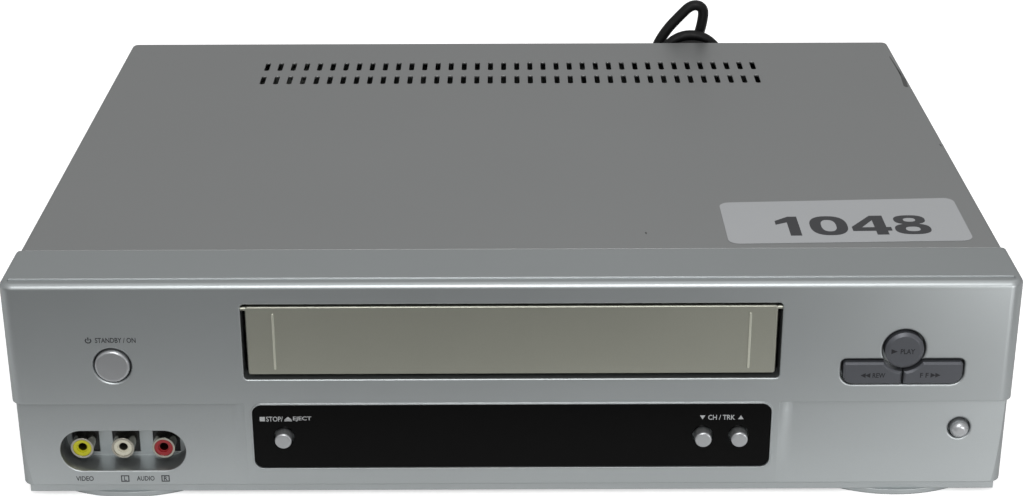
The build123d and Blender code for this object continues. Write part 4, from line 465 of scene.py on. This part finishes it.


# Painted highlight: the crests of the ribs are painted 1.7 times brighter, over their foremost 0.2 mm.
crest_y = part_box("cassette_door")[0].y
toned(champagne_paint, along_y(champagne_paint), crest_y + 0.00015, crest_y + 0.00025, 1.7, 1.0)
spring_wire = surface("stainless_spring_wire", "a8a8a6", 0.25, metallic=1.0, grain_mm=0.3, relief_mm=0.005)
dress(spring_wire, "door_spring")


# ---------------------------------------------------------------- display window
# Gloss black acrylic strip with a narrow raised lip, over a glass display tube. Its marks are
# printed in pale grey from behind.
smoked_acrylic = surface("gloss_smoked_acrylic", "040404", 0.09, ior=1.2, grain_mm=3.0, relief_mm=0.001,
                         cloud=0.15, edge_mm=0.3)
dress(smoked_acrylic, "display_window")
tube_glass = surface("dark_display_glass", "10201e", 0.08, ior=1.52, grain_mm=2.0, relief_mm=0.002, coat=0.3)
dress(tube_glass, "display_tube")
pale_ink = surface("pale_grey_screen_ink", "a7a9aa", 0.5, grain_mm=0.15, relief_mm=0.003, cloud=0.1)
WINDOW_Y = 0.4             # the strip is set this far back from the front face


def window_face(x, z, lift):
    """The flat front of the strip inside its lip."""
    return at(x, WINDOW_Y - CLEAR - lift, z)


UPWARDS = [(0, 0), (1, 0), (0.5, 1)]
DOWNWARDS = [(0, 1), (1, 1), (0.5, 0)]
EJECT = [[(0, 0), (1, 0), (1, 0.2), (0, 0.2)], [(0, 0.34), (1, 0.34), (0.5, 1)]]
printed("window_labels", [
    ([SQUARE], -90.8, -88.9, 31.6, 33.4), ("STOP/", -88.5, -82.5, 31.5, 33.5),
    (EJECT, -82.0, -79.2, 31.6, 33.4), ("EJECT", -78.8, -72.2, 31.5, 33.5),
    ([DOWNWARDS], 67.7, 69.7, 31.8, 33.4), ("CH / TRK", 70.7, 80.4, 31.6, 33.6),
    ([UPWARDS], 81.5, 83.5, 31.8, 33.4),
], window_face, pale_ink, "case", weight=0.012)


# ---------------------------------------------------------------- buttons
# Small caps moulded in ABS: silver ones painted like the bezel, and the play and winding keys in
# satin mid grey with a bevel all round and dark symbols.
button_silver = surface("silver_painted_button_cap", "b8babc", 0.34, metallic=0.8, grain_mm=0.3,
                        relief_mm=0.005, edge_mm=0.35)
dress(button_silver, "standby_button", "stop_button", "channel_down_button", "channel_up_button",
      "record_button")
key_grey = surface("satin_grey_key_paint", "585a5f", 0.36, metallic=0.4, flop=0.2, grain_mm=0.3,
                   relief_mm=0.005, edge_mm=0.3)
dress(key_grey, "play_button", "rewind_button", "forward_button")
key_ink = surface("blue_black_key_ink", "0c0d14", 0.5, grain_mm=0.15, relief_mm=0.003, cloud=0.1)


def key_face(node):
    """The flat front of a key, from its foremost plane."""
    face_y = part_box(node)[0].y * 1000 + FACE_TO_MIDDLE
    return lambda x, z, lift: at(x, face_y - CLEAR - lift, z)


ONE_AHEAD = [[(0, 0), (1, 0.5), (0, 1)]]
TWO_AHEAD = [[(0, 0), (0.5, 0.5), (0, 1)], [(0.5, 0), (1, 0.5), (0.5, 1)]]
TWO_BACK = [[(0.5, 0), (0, 0.5), (0.5, 1)], [(1, 0), (0.5, 0.5), (1, 1)]]
printed("play_legend", [(ONE_AHEAD, 134.4, 136.7, 58.7, 60.7), ("PLAY", 137.7, 142.8, 58.7, 60.7)],
        key_face("play_button"), key_ink, "play", weight=0.02)
printed("rewind_legend", [(TWO_BACK, 124.1, 127.6, 49.3, 51.2), ("REW", 128.4, 132.9, 49.3, 51.2)],
        key_face("rewind_button"), key_ink, "rewind", weight=0.02)
printed("forward_legend", [("F F", 145.3, 148.3, 49.3, 51.2), (TWO_AHEAD, 149.0, 152.6, 49.3, 51.2)],
        key_face("forward_button"), key_ink, "forward", weight=0.02)


# ---------------------------------------------------------------- phono sockets
# Nickel-plated rims round coloured insulators: yellow for video, white and red for sound. White and
# red ones stand in the back panel too.
nickel_plate = surface("bright_nickel_plate", "aaa79c", 0.16, metallic=1.0, grain_mm=1.0, relief_mm=0.004,
                       cloud=0.08, edge_mm=0.15)
dress(nickel_plate, "jack_shells")
front_end, rear_end = (corner.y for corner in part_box("jack_insulators_white"))
middle_y = (front_end + rear_end) / 2
half_span = (rear_end - front_end) / 2
for code, colour_name, node in (("bdb916", "yellow", "jack_insulator_yellow"),
                                ("cbc8b7", "white", "jack_insulators_white"),
                                ("901c22", "red", "jack_insulators_red")):
    insulator = surface(f"{colour_name}_moulded_polyamide", code, 0.32, grain_mm=0.6, relief_mm=0.01,
                        cloud=0.07)
    dress(insulator, node)
    # Painted shade: from about a millimetre below either outer face the insulator is darkened to 6 % of its
    # colour, so that the hole for the plug's pin looks dark.
    away = add(insulator, "Math", {0: along_y(insulator), 1: middle_y}, operation="SUBTRACT").outputs[0]
    away = add(insulator, "Math", {0: away}, operation="ABSOLUTE").outputs[0]
    toned(insulator, away, half_span - 0.0012, half_span - 0.0007, 0.06, 1.0)


# ---------------------------------------------------------------- cover
# Folded sheet steel in a satin grey metallic enamel, held by four side screws and two at the back.
# The rear panel is bare galvanised sheet.
grey_enamel = surface("satin_grey_metallic_enamel", "b0b2b2", 0.44, metallic=0.9, flop=0.5, grain_mm=0.4,
                      relief_mm=0.012, cloud_mm=140, cloud=0.03, edge_mm=0.4)
dress(grey_enamel, "top_cover")
black_screw = surface("black_zinc_screw_steel", "33353a", 0.35, metallic=0.9, grain_mm=0.5, relief_mm=0.01,
                      cloud=0.15, edge_mm=0.15)
dress(black_screw, "cover_screws")
galvanised_steel = surface("galvanised_steel_sheet", "9c9f9e", 0.42, metallic=1.0, grain_mm=4.0,
                           relief_mm=0.004, cloud_mm=9, cloud=0.16)
dress(galvanised_steel, "rear_panel")


# ---------------------------------------------------------------- stock sticker
# Paper label stuck on the cover by hand, a little askew, with a plain number of four digits in
# heavy black print.
COVER_Z = 86.0
STICKER = [(79.5, 34.0), (169.5, 36.3), (169.7, 77.2), (79.4, 73.1)]
STICKER_T = 0.12
CORNER_R = 4.0


def rounded(corners, radius, steps=6):
    """Outline with an arc at each corner."""
    outline = []
    for place, corner in enumerate(corners):
        here = Vector(corner)
        back = (Vector(corners[place - 1]) - here).normalized() * radius
        on = (Vector(corners[(place + 1) % len(corners)]) - here).normalized() * radius
        for step in range(steps + 1):
            angle = math.pi / 2 * step / steps
            outline.append(tuple(here + back * (1 - math.sin(angle)) + on * (1 - math.cos(angle))))
    return outline


def on_cover(x, y, lift):
    """The top of the cover."""
    return at(x, y, COVER_Z + CLEAR + lift)


def as_drawn(outline):
    """An outline already in mm, as a mark in its own place."""
    across, along = zip(*outline)
    return [outline], min(across), max(across), min(along), max(along)


label_paper = surface("matt_label_paper", "a5a7a9", 0.7, grain_mm=0.5, relief_mm=0.01, cloud=0.02)
printed("stock_sticker", [as_drawn(rounded(STICKER, CORNER_R))], on_cover, label_paper, "case",
        thickness=STICKER_T)
heavy_ink = surface("heavy_black_print", "1e1f24", 0.45, grain_mm=0.3, relief_mm=0.003, cloud=0.1)


def lobes(*each, steps=36, power=2.5):
    """Outline round one or two stacked superellipses, each (middle, half width, half height)."""
    low = min(middle - tall for middle, wide, tall in each)
    high = max(middle + tall for middle, wide, tall in each)
    right_side = []
    for step in range(steps + 1):
        v = low + (high - low) * (1 - math.cos(math.pi * step / steps)) / 2
        x = max(wide * max(0, 1 - abs((v - middle) / tall) ** power) ** (1 / power)
                for middle, wide, tall in each)
        right_side.append((x, v))
    return right_side + [(-x, v) for x, v in right_side[-2:0:-1]]


ONE = [[(0.42, 0), (0.82, 0), (0.82, 1), (0.5, 1), (0, 0.78), (0, 0.58), (0.42, 0.7)]]
ZERO = [lobes((0.5, 0.5, 0.5)), lobes((0.5, 0.2, 0.3))]
FOUR = [
    [(0.58, 0), (0.88, 0), (0.88, 0.2), (1, 0.2), (1, 0.39), (0.88, 0.39), (0.88, 1), (0.55, 1), (0, 0.42),
     (0, 0.2), (0.58, 0.2)],
    [(0.58, 0.39), (0.58, 0.76), (0.26, 0.39)],
]
EIGHT = [lobes((0.27, 0.5, 0.28), (0.76, 0.44, 0.24)), lobes((0.27, 0.2, 0.12)), lobes((0.755, 0.17, 0.1))]
STICKER_X = 126            # where the digits' line keeps its own y
ASKEW = 0.022


def on_sticker(x, y, lift):
    """The top of the sticker, along its slight turn."""
    return on_cover(x, y + (x - STICKER_X) * ASKEW, STICKER_T + CLEAR + lift)


printed("sticker_number", [
    (ONE, 98.6, 107.2, 41.6, 59.5), (ZERO, 111.2, 125.2, 41.6, 59.5), (FOUR, 126.6, 141.2, 41.6, 59.5),
    (EIGHT, 142.4, 155.8, 41.6, 59.5),
], on_sticker, heavy_ink, "case")


# ---------------------------------------------------------------- wear
# Rubs through the cover's enamel to the grey primer: a scuff on the right edge near the back, a
# nick farther forward and a fleck beside the sticker.
SCUFF_T = 0.004
bare_primer = surface("rubbed_grey_primer", "434443", 0.6, grain_mm=0.4, relief_mm=0.01, cloud=0.3)
printed("cover_scuffs", [
    as_drawn([(175.7, 250), (176.1, 249), (176.5, 238), (176.6, 224), (176.2, 223), (175.9, 236)]),
    as_drawn([(176.3, 234), (177.1, 216), (176.7, 207), (175.6, 206.5), (174.9, 208.5), (175.9, 222)]),
    as_drawn([(177.0, 233), (177.3, 226), (177.3, 212), (177.1, 213), (177.1, 225)]),
    as_drawn([(176.2, 135.6), (176.9, 134.6), (176.7, 132.6), (176.3, 133.8)]),
    as_drawn([(49.4, 44.6), (49.8, 45.6), (50.2, 44.4), (50.0, 43.2), (49.6, 43.4)]),
], on_cover, bare_primer, "case", thickness=SCUFF_T)


# ---------------------------------------------------------------- studio
# Seamless white paper in a pale room, with three soft boxes: a large one overhead, one high in
# front, and a small one low beside the right end of the front.
WHITE, DARK_GREY = 0.9, 0.1
WHITE_FROM_Y, DARK_FROM_Y = -0.16, -0.26
GLOW = 0.55
paper = surface("pale_backdrop_paper", "e6e6e6", 0.9, grain_mm=1.5, relief_mm=0.0, cloud=0.0)
# The paper glows for the eye alone, so that it stays white beside the soft shadow. What mirrors it finds
# painted shade: white at the foot of the front, shading to a painted dark grey from 120 mm in front of that.
seen = add(paper, "LightPath").outputs["Is Camera Ray"]
glow = add(paper, "Math", {0: seen, 1: GLOW}, operation="MULTIPLY").outputs[0]
painted_reflection_tone = add(paper, "MapRange", {"Value": along_y(paper), "From Min": DARK_FROM_Y, "From Max": WHITE_FROM_Y,
                                   "To Min": DARK_GREY, "To Max": WHITE}).outputs[0]
tint = add(paper, "MapRange", {"Value": seen, "To Min": painted_reflection_tone, "To Max": WHITE}).outputs[0]
backdrop = paper.node_tree.nodes["Principled BSDF"]
backdrop.inputs["Emission Color"].default_value = linear("ffffff")
paper.node_tree.links.new(glow, backdrop.inputs["Emission Strength"])
paper.node_tree.links.new(add(paper, "CombineColor", {0: tint, 1: tint, 2: tint}).outputs[0],
                          backdrop.inputs["Base Color"])
sheet = bmesh.new()
bmesh.ops.create_grid(sheet, x_segments=1, y_segments=1, size=4.0)
floor_mesh = bpy.data.meshes.new("floor")
sheet.to_mesh(floor_mesh)
sheet.free()
floor_mesh.materials.append(paper)
floor = bpy.data.objects.new("floor", floor_mesh)
floor.location.z = -0.00005    # a hair under the feet
bpy.context.scene.collection.objects.link(floor)

AIM = Vector((0, 0, 0.04))
for lamp_name, spot, size, power in (
    ("overhead", (0.2, 0.3, 1.6), 1.6, 4),
    ("high_front", (0.0, -1.2, 1.0), 0.8, 10),
    ("beside_right", (0.28, -0.38, 0.03), 0.08, 0.18),
):
    lamp = bpy.data.lights.new(lamp_name, "AREA")
    lamp.shape = "SQUARE"
    lamp.size = size
    lamp.energy = power
    fitting = bpy.data.objects.new(lamp_name, lamp)
    fitting.location = spot
    fitting.visible_camera = False
    fitting.rotation_mode = "QUATERNION"
    fitting.rotation_quaternion = (AIM - Vector(spot)).to_track_quat("-Z", "Y")
    bpy.context.scene.collection.objects.link(fitting)

world = bpy.data.worlds.new("studio")
world.use_nodes = True
# The eye finds the room white; it lights the recorder at about half that.
ROOM_LIGHT = 0.52
wall = world.node_tree.nodes["Background"]
wall.inputs["Color"].default_value = linear("ffffff")
bright = add(world, "MapRange", {"Value": add(world, "LightPath").outputs["Is Camera Ray"],
                                 "To Min": ROOM_LIGHT, "To Max": 1.0}).outputs[0]
world.node_tree.links.new(bright, wall.inputs["Strength"])
bpy.context.scene.world = world
bpy.context.scene.view_settings.view_transform = "Standard"
